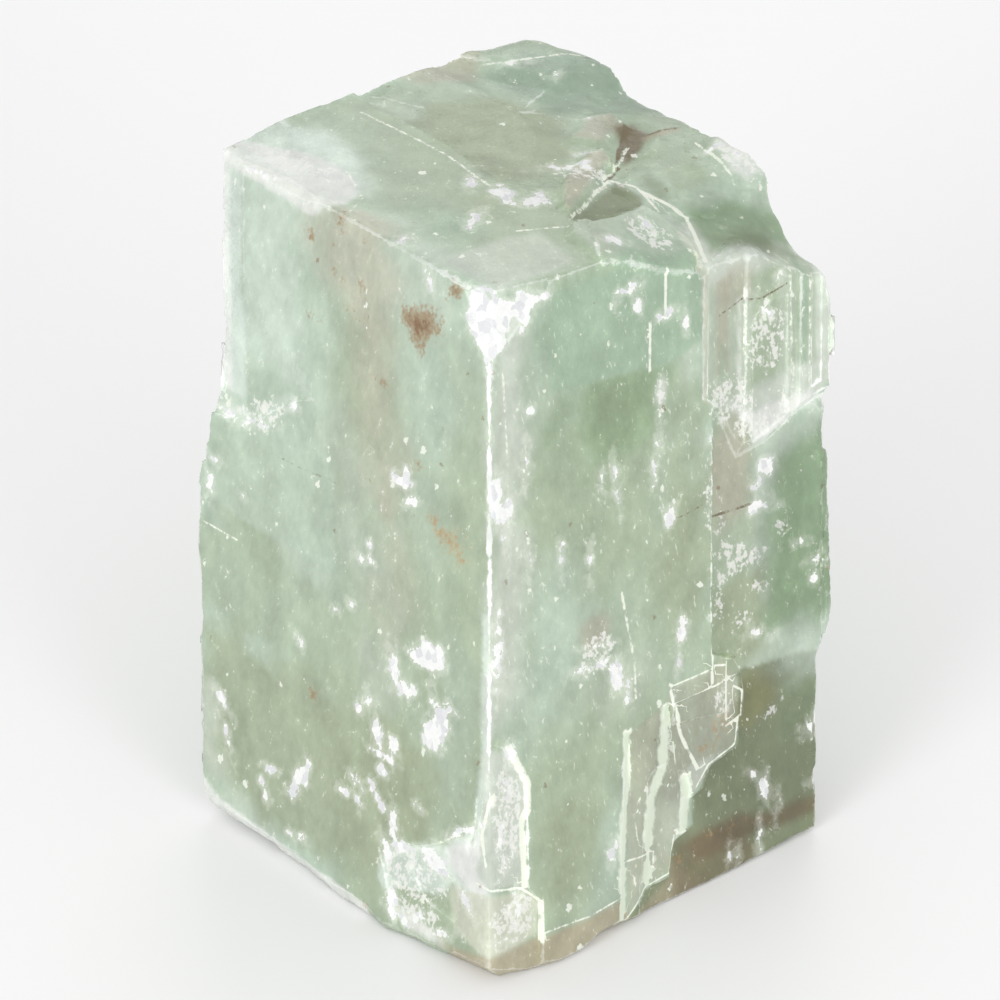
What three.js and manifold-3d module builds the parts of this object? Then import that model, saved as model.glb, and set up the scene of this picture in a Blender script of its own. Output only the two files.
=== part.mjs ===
// A calcite cleavage rhomb: one natural crystal, broken along its three cleavage directions.
// Everything is shaped in crystal coordinates (u, v, w): millimetres along the three edges that
// leave the top front corner, u to the back left, v to the back right, w down the front edge.
// A last matrix leans those three directions to calcite's own angles and puts the base on z = 0.
import * as THREE from "three";
import { mergeVertices } from "three/addons/utils/BufferGeometryUtils.js";
import Module from "manifold-3d";

const wasm = await Module();
wasm.setup();

// Driving dimensions: the block before anything broke off it, along u, v and w.
const BLOCK_U = 46.7;
const BLOCK_V = 49.2;
const BLOCK_W = 85.3;
const FACE_ANGLE = 101.92; // degrees between any two edges at the corner, as in all calcite
const U_TURN = 47.0; // degrees that the u edge is turned to the left of straight back
const LEAN = 0.33; // forward run of the w edge for each millimetre of its length
const OUTSIDE = 6; // how far a cutter stands outside the face that it cuts
const FACET = 3.2; // longest side of a facet of a rough fracture surface
const LEAST_CHIP_SPACING = 1.8; // along a frayed edge, from one chip to the next
const SPACING_PER_BITE = 1.6; // how much further apart the chips are for each millimetre of bite
const SMALLEST_BITE = 0.35; // as a share of the largest on the same edge
const SLIVER = 0.01; // facets narrower than this, left where cuts nearly meet, are merged away
const CRYSTAL_COLOUR = 0xb5ccb8;

// Where a point lies that is `depth` inside a face, at s and t along it.
const FACES = {
  left: (s, t, depth) => [s, depth, t], // s = u, t = w
  right: (s, t, depth) => [depth, s, t], // s = v, t = w
  top: (s, t, depth) => [s, t, depth], // s = u, t = v
  base: (s, t, depth) => [s, t, BLOCK_W - depth], // s = u, t = v
  backLeft: (s, t, depth) => [BLOCK_U - depth, s, t], // s = v, t = w
  backRight: (s, t, depth) => [s, BLOCK_V - depth, t], // s = u, t = w
};

// Repeatable pseudo-random numbers between two limits, for the wear of the edges. They are
// closer to the lower limit more often, as most chips are small.
const LARGEST = 2147483647;
let seed = 20761;
function between(low, high) {
  seed = (seed * 48271) % LARGEST;
  return low + (high - low) * (seed / LARGEST) ** 1.5;
}

// A closed solid from points and consistently turned triangles, made to face outwards.
function solid(points, triangles) {
  const geometry = new THREE.BufferGeometry();
  geometry.setAttribute("position", new THREE.Float32BufferAttribute(points.flat(), 3));
  const corner = (i) => new THREE.Vector3().fromBufferAttribute(geometry.attributes.position, i);
  let volume = 0;
  for (const [i, j, k] of triangles) {
    volume += corner(i).dot(corner(j).cross(corner(k)));
  }
  const index = Uint32Array.from(triangles.flat());
  if (volume < 0) {
    index.reverse();
  }
  const mesh = new wasm.Mesh({
    numProp: 3,
    vertProperties: geometry.attributes.position.array,
    triVerts: index,
  });
  return new wasm.Manifold(mesh);
}

// The unevenness of a fracture surface, from -1 to 1, at a place on its face.
function unevenness(s, t) {
  const slow = Math.sin(0.71 * s + 0.38 * t + 1.3) * Math.sin(0.29 * s - 0.83 * t + 0.4);
  const quick = Math.sin(1.93 * s - 0.62 * t) * Math.sin(0.87 * s + 1.71 * t + 2.1);
  return 0.6 * slow + 0.4 * quick;
}

// Splits triangles until no side is longer than `longest`. New points are added to `floor`.
function split(floor, triangles, longest) {
  const middles = new Map();
  const middle = (i, j) => {
    const [a, b] = [floor[i], floor[j]];
    if (Math.hypot(a[0] - b[0], a[1] - b[1]) <= longest) {
      return null;
    }
    const key = i < j ? `${i},${j}` : `${j},${i}`;
    if (!middles.has(key)) {
      middles.set(key, floor.length);
      floor.push(a.map((x, k) => (x + b[k]) / 2));
    }
    return middles.get(key);
  };
  const pieces = triangles.flatMap(([i, j, k]) => {
    const sides = [middle(i, j), middle(j, k), middle(k, i)];
    const cut = sides.filter((m) => m !== null).length;
    if (cut === 0) {
      return [[i, j, k]];
    }
    if (cut === 3) {
      const [a, b, c] = sides;
      return [[i, a, c], [a, j, b], [c, b, k], [a, b, c]];
    }
    // turn the triangle so that its first side is cut and, where two are, its second too
    const corners = [i, j, k];
    const first = cut === 1 ? sides.findIndex((m) => m !== null) : (sides.indexOf(null) + 1) % 3;
    const [p, q, r] = [0, 1, 2].map((n) => corners[(first + n) % 3]);
    const [a, b] = [sides[first], sides[(first + 1) % 3]];
    return cut === 1 ? [[p, a, r], [a, q, r]] : [[p, a, r], [a, q, b], [a, b, r]];
  });
  return middles.size ? split(floor, pieces, longest) : pieces;
}

// The space between a floor, [s, t, depth] by point, and a flat lid outside the face.
// A rough floor is broken into facets that rise and fall by up to `rough` millimetres.
function column(face, floor, triangles, rough = 0) {
  let points = floor.slice();
  let facets = triangles;
  if (rough) {
    facets = split(points, triangles, FACET);
    points = points.map(([s, t, depth]) => [s, t, depth + rough * unevenness(s, t)]);
  }
  const n = points.length;
  const low = points.map(([s, t, depth]) => FACES[face](s, t, depth));
  const high = points.map(([s, t]) => FACES[face](s, t, -OUTSIDE));
  const lid = facets.map(([i, j, k]) => [n + i, n + k, n + j]);
  const sides = facets.flatMap(([i, j, k]) => [[i, j], [j, k], [k, i]]);
  const inner = new Set(sides.map((side) => side.join()));
  const walls = sides
    .filter(([i, j]) => !inner.has(`${j},${i}`))
    .flatMap(([i, j]) => [[j, i, n + i], [j, n + i, n + j]]);
  return solid([...low, ...high], [...facets, ...lid, ...walls]);
}

// A patch broken out of a face, down to its outline's own depths. A summit, given as one more
// [s, t, depth], is the point that the whole outline slopes to.
function patch(face, outline, { summit = null, rough = 0 } = {}) {
  const flat = outline.map(([s, t]) => new THREE.Vector2(s, t));
  const last = outline.length;
  const triangles = summit
    ? outline.map((_, i) => [i, (i + 1) % last, last])
    : THREE.ShapeUtils.triangulateShape(flat, []);
  return column(face, summit ? [...outline, summit] : outline, triangles, rough);
}

// A ramp across a step: pairs of [s, t, depth], the upper edge and then the lower one.
function ramp(face, places) {
  const triangles = [];
  for (let i = 0; i + 3 < 2 * places.length; i += 2) {
    triangles.push([i, i + 1, i + 3], [i, i + 3, i + 2]);
  }
  return column(face, places.flat(), triangles);
}

// The relief of a whole face: a depth for each s of `across` and each t of `along`.
function relief(face, across, along, depths, rough = 0) {
  const columns = along.length;
  const floor = across.flatMap((s, i) => along.map((t, j) => [s, t, depths[i][j]]));
  const triangles = [];
  for (let i = 0; i + 1 < across.length; i += 1) {
    for (let j = 0; j + 1 < columns; j += 1) {
      const a = i * columns + j;
      const b = a + columns;
      triangles.push([a, b, b + 1], [a, b + 1, a + 1]);
    }
  }
  return column(face, floor, triangles, rough);
}

// Wear along an edge: a bevel whose two widths change from place to place. Each place is
// [point of the edge, width towards a, width towards b]; a and b point into the two faces.
function bevel(a, b, places) {
  const points = [];
  const triangles = [];
  for (const [[u, v, w], p, q] of places) {
    for (const [along, across] of [[2 * p, -q], [-p, 2 * q], [-p, -q]]) {
      points.push([0, 1, 2].map((k) => [u, v, w][k] + along * a[k] + across * b[k]));
    }
  }
  for (let i = 0; i + 3 < points.length; i += 3) {
    for (let k = 0; k < 3; k += 1) {
      const next = (k + 1) % 3;
      triangles.push([i + k, i + next, i + 3 + next], [i + k, i + 3 + next, i + 3 + k]);
    }
  }
  const last = points.length - 3;
  triangles.push([2, 1, 0], [last, last + 1, last + 2]);
  return solid(points, triangles);
}

// An edge frayed by small chips all along it, no wider than `most`.
function frayed(from, to, a, b, most) {
  const length = Math.hypot(...from.map((x, k) => to[k] - x));
  const spacing = LEAST_CHIP_SPACING + SPACING_PER_BITE * most;
  const count = Math.ceil(length / spacing);
  const places = [];
  for (let i = 0; i <= count; i += 1) {
    const shift = i === 0 || i === count ? 0 : between(-0.3, 0.3);
    const at = from.map((x, k) => x + ((i + shift) / count) * (to[k] - x));
    const bite = most * between(SMALLEST_BITE, 1);
    places.push([at, bite, bite * between(0.7, 1.2)]);
  }
  return bevel(a, b, places);
}

// A corner broken off along the flat that meets its three edges p, q and r from the corner.
function brokenCorner([u, v, w], [p, q, r]) {
  const reach = 1; // the cutter stands clear of the corner by this share of p, q and r
  const far = 1 + 2 * reach;
  const points = [
    [u + p * far, v - q * reach, w - r * reach],
    [u - p * reach, v + q * far, w - r * reach],
    [u - p * reach, v - q * reach, w + r * far],
    [u - p * reach, v - q * reach, w - r * reach],
  ];
  return solid(points, [[0, 1, 2], [0, 2, 3], [0, 3, 1], [1, 3, 2]]);
}

const U = [1, 0, 0];
const V = [0, 1, 0];
const W = [0, 0, 1];
const TOWARDS_FRONT_U = [-1, 0, 0];
const TOWARDS_FRONT_V = [0, -1, 0];
const UP_W = [0, 0, -1];

// The unbroken block, with one point at each of its corners.
function unbroken() {
  const box = new THREE.BoxGeometry(BLOCK_U, BLOCK_V, BLOCK_W);
  box.translate(BLOCK_U / 2, BLOCK_V / 2, BLOCK_W / 2);
  box.deleteAttribute("normal");
  box.deleteAttribute("uv");
  const { attributes, index } = mergeVertices(box);
  const points = [];
  for (let i = 0; i < attributes.position.count; i += 1) {
    points.push(new THREE.Vector3().fromBufferAttribute(attributes.position, i).toArray());
  }
  const triangles = [];
  for (let i = 0; i < index.count; i += 3) {
    triangles.push([index.getX(i), index.getX(i + 1), index.getX(i + 2)]);
  }
  return solid(points, triangles);
}

const cuts = [
  // ---- the top: a cleavage face at the front and left that drops away to the back
  relief("top", [-2, 8, 21, 32, 43, 50], [-2, 4, 9, 18, 27, 36, 44, 52], [
    [0.3, 1.1, 1.5, 2.2, 6.0, 8.0, 9.0, 10.0],
    [0.3, 0.6, 0.9, 1.3, 2.5, 4.0, 5.4, 6.4],
    [0.5, 0.7, 0.9, 1.4, 2.4, 4.0, 5.4, 7.0],
    [0.7, 0.9, 1.1, 1.5, 2.3, 3.4, 4.0, 6.9],
    [1.9, 1.8, 1.4, 1.9, 2.3, 3.9, 4.8, 9.0],
    [2.6, 2.5, 2.1, 2.4, 2.8, 4.6, 5.8, 10.0],
  ]),
  // a lower terrace behind a cleavage step along u
  patch("top", [
    [43.6, 19.3, 2.4], [38.6, 18.6, 2.4], [27.4, 19.0, 2.1], [22.3, 18.7, 2.0],
    [18.7, 18.2, 2.0], [15.5, 21.5, 2.5], [14.2, 24.5, 3.0], [14.4, 27.9, 3.7],
    [16.8, 33.8, 4.6], [19.1, 38.4, 5.3], [18.7, 41.2, 5.6], [18.7, 49, 6.5], [21.2, 49, 6.8],
    [25, 49, 6.9], [28.9, 49, 7.4], [32, 49, 6.9], [35.1, 43.7, 4.6], [36.8, 38.9, 4.4],
    [39.1, 36.4, 4.2], [43.6, 33.7, 4.1], [43.6, 29.5, 2.8], [43.6, 26.7, 2.4],
    [43.6, 23.9, 2.3],
  ], { summit: [30, 31, 3.2], rough: 0.12 }),
  // the back corner, behind the riser of that terrace
  patch("top", [
    [39.1, 36.4, 3.6], [36.8, 38.9, 3.7], [35.1, 43.7, 4.0], [32.4, 49, 6.9], [35.1, 49, 6.7],
    [39.8, 49, 7.6], [45, 49, 9.0], [45, 43.5, 4.8], [45, 39.3, 4.0], [45, 36.5, 4.0],
  ], { summit: [39.5, 42, 3.9], rough: 0.15 }),
  // the broken slope between the groove and the back right edge
  patch("top", [
    [14.7, 28.5, 4.2], [16.9, 33.7, 5.2], [19.4, 38.1, 5.7], [19.1, 41.2, 5.8],
    [19.0, 44.5, 5.9], [19.2, 50, 6.3], [16.5, 50, 5.7], [12.7, 50, 5.4], [10.0, 50, 5.8],
    [6.6, 50, 8.4], [6.6, 47, 7.9], [8.0, 43, 7.5], [8.8, 39.8, 7.0], [9.3, 36.6, 6.6],
    [9.3, 33.7, 6.1], [9.2, 30.4, 5.5],
  ], { summit: [13.2, 39.5, 5.9], rough: 0.22 }),
  // the steep slope down to the right face
  patch("top", [
    [10.3, 30.6, 5.6], [10.0, 33.7, 6.1], [9.8, 36.6, 6.6], [9.3, 39.8, 7.2], [8.6, 43, 8.4],
    [7.7, 47, 11.4], [7.4, 51, 12.8], [3.5, 51, 16.2], [-2, 51, 20], [-2, 45.9, 17.0],
    [-2, 43.8, 15.0], [-2, 40.9, 12.6], [-2, 37.4, 10.4], [-2, 34.6, 9.9], [-2, 31.1, 10.0],
    [-2, 28.9, 9.6], [0.5, 29.0, 8.8], [1.9, 29.7, 8.6], [3.5, 30.2, 7.9], [5.8, 30.1, 6.9],
    [8.5, 29.6, 5.8],
  ], { summit: [4.4, 38.5, 9.3], rough: 0.4 }),
  // the shell-shaped break at the front of that slope
  patch("top", [
    [6.3, 19.4, 2.2], [7.6, 24.5, 3.45], [8.2, 28.1, 4.6], [8.1, 30.1, 5.6], [5.8, 30.4, 6.1],
    [3.5, 30.5, 6.7], [1.9, 29.9, 7.5], [0.5, 29.2, 8.1], [-2, 28.8, 9.3], [-2, 24, 7.3],
    [-2, 20.4, 5.3], [-2, 16.4, 2.9], [0.5, 15.2, 2.0], [3, 17.0, 1.9],
  ], { summit: [4.6, 24.6, 4.8], rough: 0.08 }),
  // lens-shaped chips between the shell and the terrace
  patch("top", [
    [14.8, 28.0, 3.8], [13.7, 30.1, 4.4], [11.5, 31.1, 5.0], [9.5, 31.0, 5.5], [8.3, 28.4, 4.8],
    [7.8, 24.9, 3.7], [6.6, 19.9, 2.5], [8.4, 19.0, 2.3], [10.3, 20.6, 2.8], [12.1, 24.5, 3.4],
  ], { summit: [10.8, 27.0, 4.5], rough: 0.1 }),
  patch("top", [
    [10.5, 18.2, 1.9], [13.0, 21.0, 2.4], [14.2, 24.3, 2.9], [14.4, 27.7, 3.7],
    [12.1, 24.7, 3.5], [10.2, 20.8, 2.8],
  ]),
  patch("top", [
    [15.0, 23.2, 2.8], [17.9, 26.0, 3.0], [19.8, 30.0, 3.3], [19.5, 32.8, 3.9],
    [16.5, 31.9, 4.6], [15.0, 29.6, 4.3], [14.3, 27.6, 3.9],
  ], { summit: [17.0, 28.4, 4.3], rough: 0.12 }),
  // the pit at the head of the groove, and the groove
  patch("top", [
    [22.2, 37.4, 5.0], [22.9, 39.4, 5.2], [21.5, 40.8, 5.5], [19.1, 38.8, 5.9],
    [17.4, 36.2, 5.8], [18.4, 34.4, 5.0], [20.2, 35.4, 4.8],
  ], { summit: [19.9, 37.4, 7.8], rough: 0.2 }),
  patch("top", [
    [17.5, 36.6, 5.8], [16.5, 33.9, 5.5], [15.1, 30.9, 5.1], [14.4, 28.3, 4.5],
    [15.1, 28.4, 4.2], [16.3, 30.7, 4.7], [17.8, 33.4, 5.1], [19.2, 35.6, 5.6],
  ]),

  // ---- the right face: steps down to the right, in thin cleavage layers
  // the rounded riser, and the layers still standing beyond it in the upper part
  ramp("right", [
    [[29.5, 5, -0.1], [31.3, 5, 0.8]], [[29.4, 16.7, -0.1], [31.1, 17.3, 0.8]],
    [[29.5, 23.6, -0.1], [31.1, 24.9, 0.8]],
  ]),
  patch("right", [
    [31.0, 5, 0.8], [30.9, 24.7, 0.8], [34.3, 27.5, 0.8], [35.3, 30.1, 0.8], [36.8, 32.8, 0.8],
    [40, 32.0, 0.8], [42, 31.2, 0.8], [52, 30.5, 0.8], [52, 5, 0.8],
  ]),
  patch("right", [[31.1, 5, 1.1], [31.1, 26, 1.1], [36.2, 32.3, 1.1], [36.3, 5, 1.1]]),
  patch("right", [[37.4, 17.2, 1.1], [37.5, 32.4, 1.1], [42.2, 31.2, 1.1], [42.1, 16.4, 1.1]]),
  patch("right", [[42.7, 5, 1.3], [42.9, 33, 1.3], [44.0, 33, 1.3], [44.0, 5, 1.3]]),
  patch("right", [[45.7, 5, 1.1], [45.8, 28.9, 1.1], [47.0, 28.5, 1.1], [47.0, 5, 1.1]]),
  // the curved break at the foot of those layers
  ramp("right", [
    [[30.9, 24.0, 0.7], [31.1, 25.2, 1.4]], [[33.2, 25.6, 0.7], [32.8, 27.4, 1.4]],
    [[34.6, 28.2, 0.7], [33.8, 29.8, 1.4]], [[36.2, 31.8, 0.7], [35.6, 33.8, 1.4]],
    [[39.4, 31.6, 0.7], [39.8, 33.4, 1.4]], [[42.6, 30.4, 0.7], [43.0, 32.0, 1.4]],
    [[46.2, 29.8, 0.7], [46.4, 30.9, 1.4]], [[52, 29.4, 0.7], [52, 30.6, 1.4]],
  ]),
  // the deeper cleavage face below and beside them
  patch("right", [
    [31.1, 25.1, 1.35], [31.3, 55.6, 1.35], [33.4, 57.1, 1.35], [34.7, 57.3, 1.35],
    [36.2, 59.9, 1.35], [36.7, 62.7, 1.35], [36.7, 65.8, 1.35], [36.0, 66.4, 1.35],
    [36.1, 69.5, 1.35], [32.1, 70.2, 1.35], [31.2, 72.6, 1.35], [29.2, 73.3, 1.35],
    [28.7, 77.1, 1.35], [27.0, 77.6, 1.35], [26.5, 79.0, 1.35], [26.3, 81.8, 1.35],
    [23.8, 81.9, 1.35], [23.5, 83.4, 1.35], [21.7, 84.4, 1.35], [21.5, 90, 1.35], [52, 90, 1.35],
    [52, 30.4, 1.35], [46.4, 30.7, 1.35], [43, 31.8, 1.35], [39.8, 33.2, 1.35],
    [35.6, 33.6, 1.35], [33.8, 29.7, 1.35], [32.8, 27.3, 1.35],
  ]),
  // terraces of the lower right, each beyond a short slanting riser
  ramp("right", [
    [[18.6, 60.2, -0.1], [19.8, 61.1, 0.45]], [[18.5, 68.4, -0.1], [20.2, 69.3, 0.45]],
    [[18.5, 70.9, -0.1], [20.2, 71.8, 0.45]], [[18.2, 72.0, -0.1], [19.7, 72.9, 0.45]],
    [[18.3, 90, -0.1], [19.9, 90, 0.45]],
  ]),
  patch("right", [
    [19.8, 61.0, 0.45], [20.2, 69.3, 0.45], [20.2, 71.8, 0.45], [19.7, 72.9, 0.45],
    [19.9, 90, 0.45], [38, 90, 0.45], [38, 62.9, 0.45], [26.8, 62.6, 0.45], [24.6, 59.2, 0.45],
  ]),
  ramp("right", [
    [[24.7, 59.0, 0.4], [25.9, 59.8, 0.9]], [[24.8, 62.8, 0.4], [26.2, 63.9, 0.9]],
    [[23.8, 64.0, 0.4], [26.1, 65.0, 0.9]], [[23.7, 66.9, 0.4], [25.9, 67.5, 0.9]],
    [[22.6, 67.9, 0.4], [24.5, 68.3, 0.9]], [[22.3, 71.0, 0.4], [24.2, 71.2, 0.9]],
    [[22.0, 74.0, 0.4], [23.4, 74.6, 0.9]], [[21.5, 80.6, 0.4], [23.0, 81.4, 0.9]],
    [[21.4, 90, 0.4], [22.9, 90, 0.9]],
  ]),
  patch("right", [
    [26.1, 62.6, 0.9], [26.1, 65.0, 0.9], [25.9, 67.5, 0.9], [24.5, 68.2, 0.9],
    [24.2, 71.2, 0.9], [23.4, 74.6, 0.9], [23.0, 81.4, 0.9], [22.9, 90, 0.9], [38, 90, 0.9],
    [38, 65.1, 0.9],
  ]),
  ramp("right", [
    [[27.0, 68.6, 0.8], [28.4, 69.6, 1.35]], [[27.5, 71.5, 0.8], [29.3, 72.3, 1.35]],
    [[27.4, 75.9, 0.8], [29.1, 77.2, 1.35]],
  ]),
  // the edges of two thin plates above the terraces
  patch("right", [
    [26.0, 57.7, 0.25], [31.5, 57.7, 0.25], [31.4, 55.7, 0.25], [33.5, 55.9, 0.25],
    [33.5, 57.3, 0.25], [38, 57.4, 0.25], [38, 66, 0.25], [26.0, 66, 0.25],
  ]),
  patch("right", [[26.4, 59.9, 0.6], [38, 59.9, 0.6], [38, 66, 0.6], [26.5, 66, 0.6]]),
  patch("right", [[33.5, 57.3, 0.9], [33.6, 65.2, 0.9], [38, 65.2, 0.9], [38, 57.3, 0.9]]),

  // a chip beside the top front corner
  patch("right", [
    [1.4, -1, 1.6], [1.2, 4.6, 0.9], [2.6, 6.2, 0.3], [4.0, 5.0, 0.2], [5.2, 3.4, 0.3],
    [7.6, 2.7, 0.1], [8.2, 1.6, 0.3], [7.4, -1, 1.1],
  ], { summit: [3.6, 2.2, 1.0] }),
  // the thin plate gone from beside the front edge, and the one at its foot
  patch("right", [
    [-2, 54.6, 0.25], [0.8, 54.4, 0.3], [3.0, 55.8, 0.35], [4.0, 58.6, 0.4], [5.2, 61.5, 0.4],
    [5.5, 74, 0.45], [-2, 74, 0.5],
  ]),
  patch("right", [
    [-2, 72.2, 0.7], [1.1, 72.6, 0.6], [5.7, 74.2, 0.5], [7.5, 76.6, 0.6], [7.6, 90, 1.0],
    [-2, 90, 1.3],
  ]),

  // ---- the left face
  // the facet along its back edge, above the ledge
  patch("left", [
    [38.1, -2, 0.1], [38.2, 27.5, 0], [41.2, 32, 0.4], [48, 32, 1.4], [48, -2, 1.5],
  ]),
  // the shallow wedge gone above the ledge
  patch("left", [
    [27.4, 24.9, 0.0], [29.4, 26.0, 0.3], [32.6, 28.2, 0.45], [36.6, 31.9, 0.5],
    [40.4, 33.2, 0.55], [48, 35.0, 0.7], [48, 22, 0.5], [38, 15, 0.0], [31, 19, 0.0],
  ]),
  // the bruised and flaked foot, next to the front edge
  patch("left", [
    [17.4, 75.2, 0.1], [15.6, 73.4, 0.25], [11.4, 72.2, 0.35], [6.6, 69.2, 0.3],
    [2.0, 65.4, 0.3], [1.2, 61.2, 0.25], [-2, 60.8, 0.3], [-2, 90, 1.1], [13.8, 90, 1.0],
    [15.8, 80, 0.4],
  ], { summit: [6.2, 77.0, 0.7], rough: 0.12 }),
  patch("left", [
    [12.4, 75.6, 0.4], [9.6, 74.2, 0.7], [6.8, 74.0, 0.8], [5.0, 76.6, 0.9], [6.4, 79.2, 1.1],
    [10.6, 78.6, 0.9],
  ], { summit: [8.4, 76.6, 1.3] }),

  // ---- the base: a shallow step at its left corner
  patch("base", [
    [35, -2, 0.7], [50, -2, 0.7], [50, 13, 0.7], [40, 13, 0.7], [40, 6, 0.7], [35, 6, 0.7],
  ]),

  // ---- the two hidden back faces
  patch("backLeft", [
    [24, 48, 2.1], [54, 48, 2.1], [54, 92, 2.1], [31, 92, 2.1], [31, 70, 2.1], [24, 70, 2.1],
  ]),
  patch("backLeft", [
    [39, 58, 3.2], [54, 58, 3.2], [54, 92, 3.2], [44, 92, 3.2], [44, 74, 3.2], [39, 74, 3.2],
  ]),
  patch("backLeft", [
    [12, 9, 5.4], [34, 9, 5.6], [34, 17, 5.6], [23, 17, 5.6], [23, 25, 5.6], [12, 25, 5.4],
  ]),
  patch("backRight", [
    [17, 24, 3.2], [52, 24, 3.2], [52, 67, 3.2], [29, 67, 3.2], [29, 52, 3.2], [17, 52, 3.2],
  ]),
  patch("backRight", [
    [10, 60, 2.0], [24, 60, 2.0], [24, 92, 2.0], [14, 92, 2.0], [14, 71, 2.0], [10, 71, 2.0],
  ]),
  patch("backRight", [
    [34, 12, 4.2], [52, 12, 4.2], [52, 40, 4.2], [40, 40, 4.2], [40, 31, 4.2], [34, 31, 4.2],
  ]),
  relief("backLeft", [-2, 3, 14, 27, 38, 52], [-2, 14, 28, 31, 33.6, 38, 45, 58, 70, 80, 83, 90], [
    [4.8, 4.4, 4.0, 3.4, 2.6, 1.6, 0.3, 0.2, 0.1, 0.1, 1.2, 3.0],
    [4.4, 4.3, 4.0, 3.5, 2.8, 1.8, 0.6, 0.2, 0.1, 0.2, 0.7, 2.2],
    [4.1, 4.5, 4.4, 4.2, 3.5, 2.8, 1.7, 0.8, 0.5, 0.2, 0.5, 1.2],
    [4.1, 4.4, 4.6, 4.5, 3.9, 3.3, 2.6, 1.2, 0.2, 0.4, 0.3, 0.9],
    [3.4, 4.0, 3.9, 3.9, 3.6, 3.2, 2.4, 1.4, 0.6, 0.2, 0.4, 0.8],
    [2.4, 3.6, 3.4, 3.5, 3.0, 2.8, 2.2, 1.2, 0.9, 0.6, 0.9, 1.4],
  ]),
  // the broken band across the back left face, where it steps out
  patch("backLeft", [
    [-2, 30.4, 3.7], [10, 31.4, 4.2], [22, 33.5, 4.9], [36, 35, 4.6], [54, 36, 4.2],
    [54, 47, 3.4], [38, 46, 3.2], [24, 43.4, 3.0], [10, 41.5, 2.2], [-2, 40.5, 1.5],
  ], { rough: 0.35 }),
  relief("backRight", [-2, 3, 12, 22, 34, 50], [-2, 12, 16, 20, 25, 30, 31, 36, 49, 58, 63, 75, 90], [
    [1.9, 2.3, 1.8, 0.4, 0.1, 0.8, 1.4, 1.4, 0.4, 0.1, 1.3, 1.2, 0.8],
    [1.9, 2.3, 1.8, 0.4, 0.1, 0.8, 1.4, 1.4, 0.4, 0.1, 1.3, 1.2, 0.8],
    [1.9, 1.7, 1.2, 0.9, 0.8, 1.2, 1.8, 1.6, 0.9, 0.3, 0.8, 0.9, 0.6],
    [1.9, 1.5, 1.2, 1.3, 1.6, 2.2, 2.3, 2.2, 1.2, 0.6, 0.5, 0.4, 0.5],
    [1.9, 1.7, 1.6, 1.8, 2.0, 2.3, 2.3, 2.4, 2.0, 1.0, 0.6, 0.5, 0.8],
    [1.9, 2.1, 2.2, 2.2, 2.3, 2.6, 2.4, 2.2, 1.6, 1.0, 1.2, 1.4, 1.8],
  ]),
];

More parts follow.
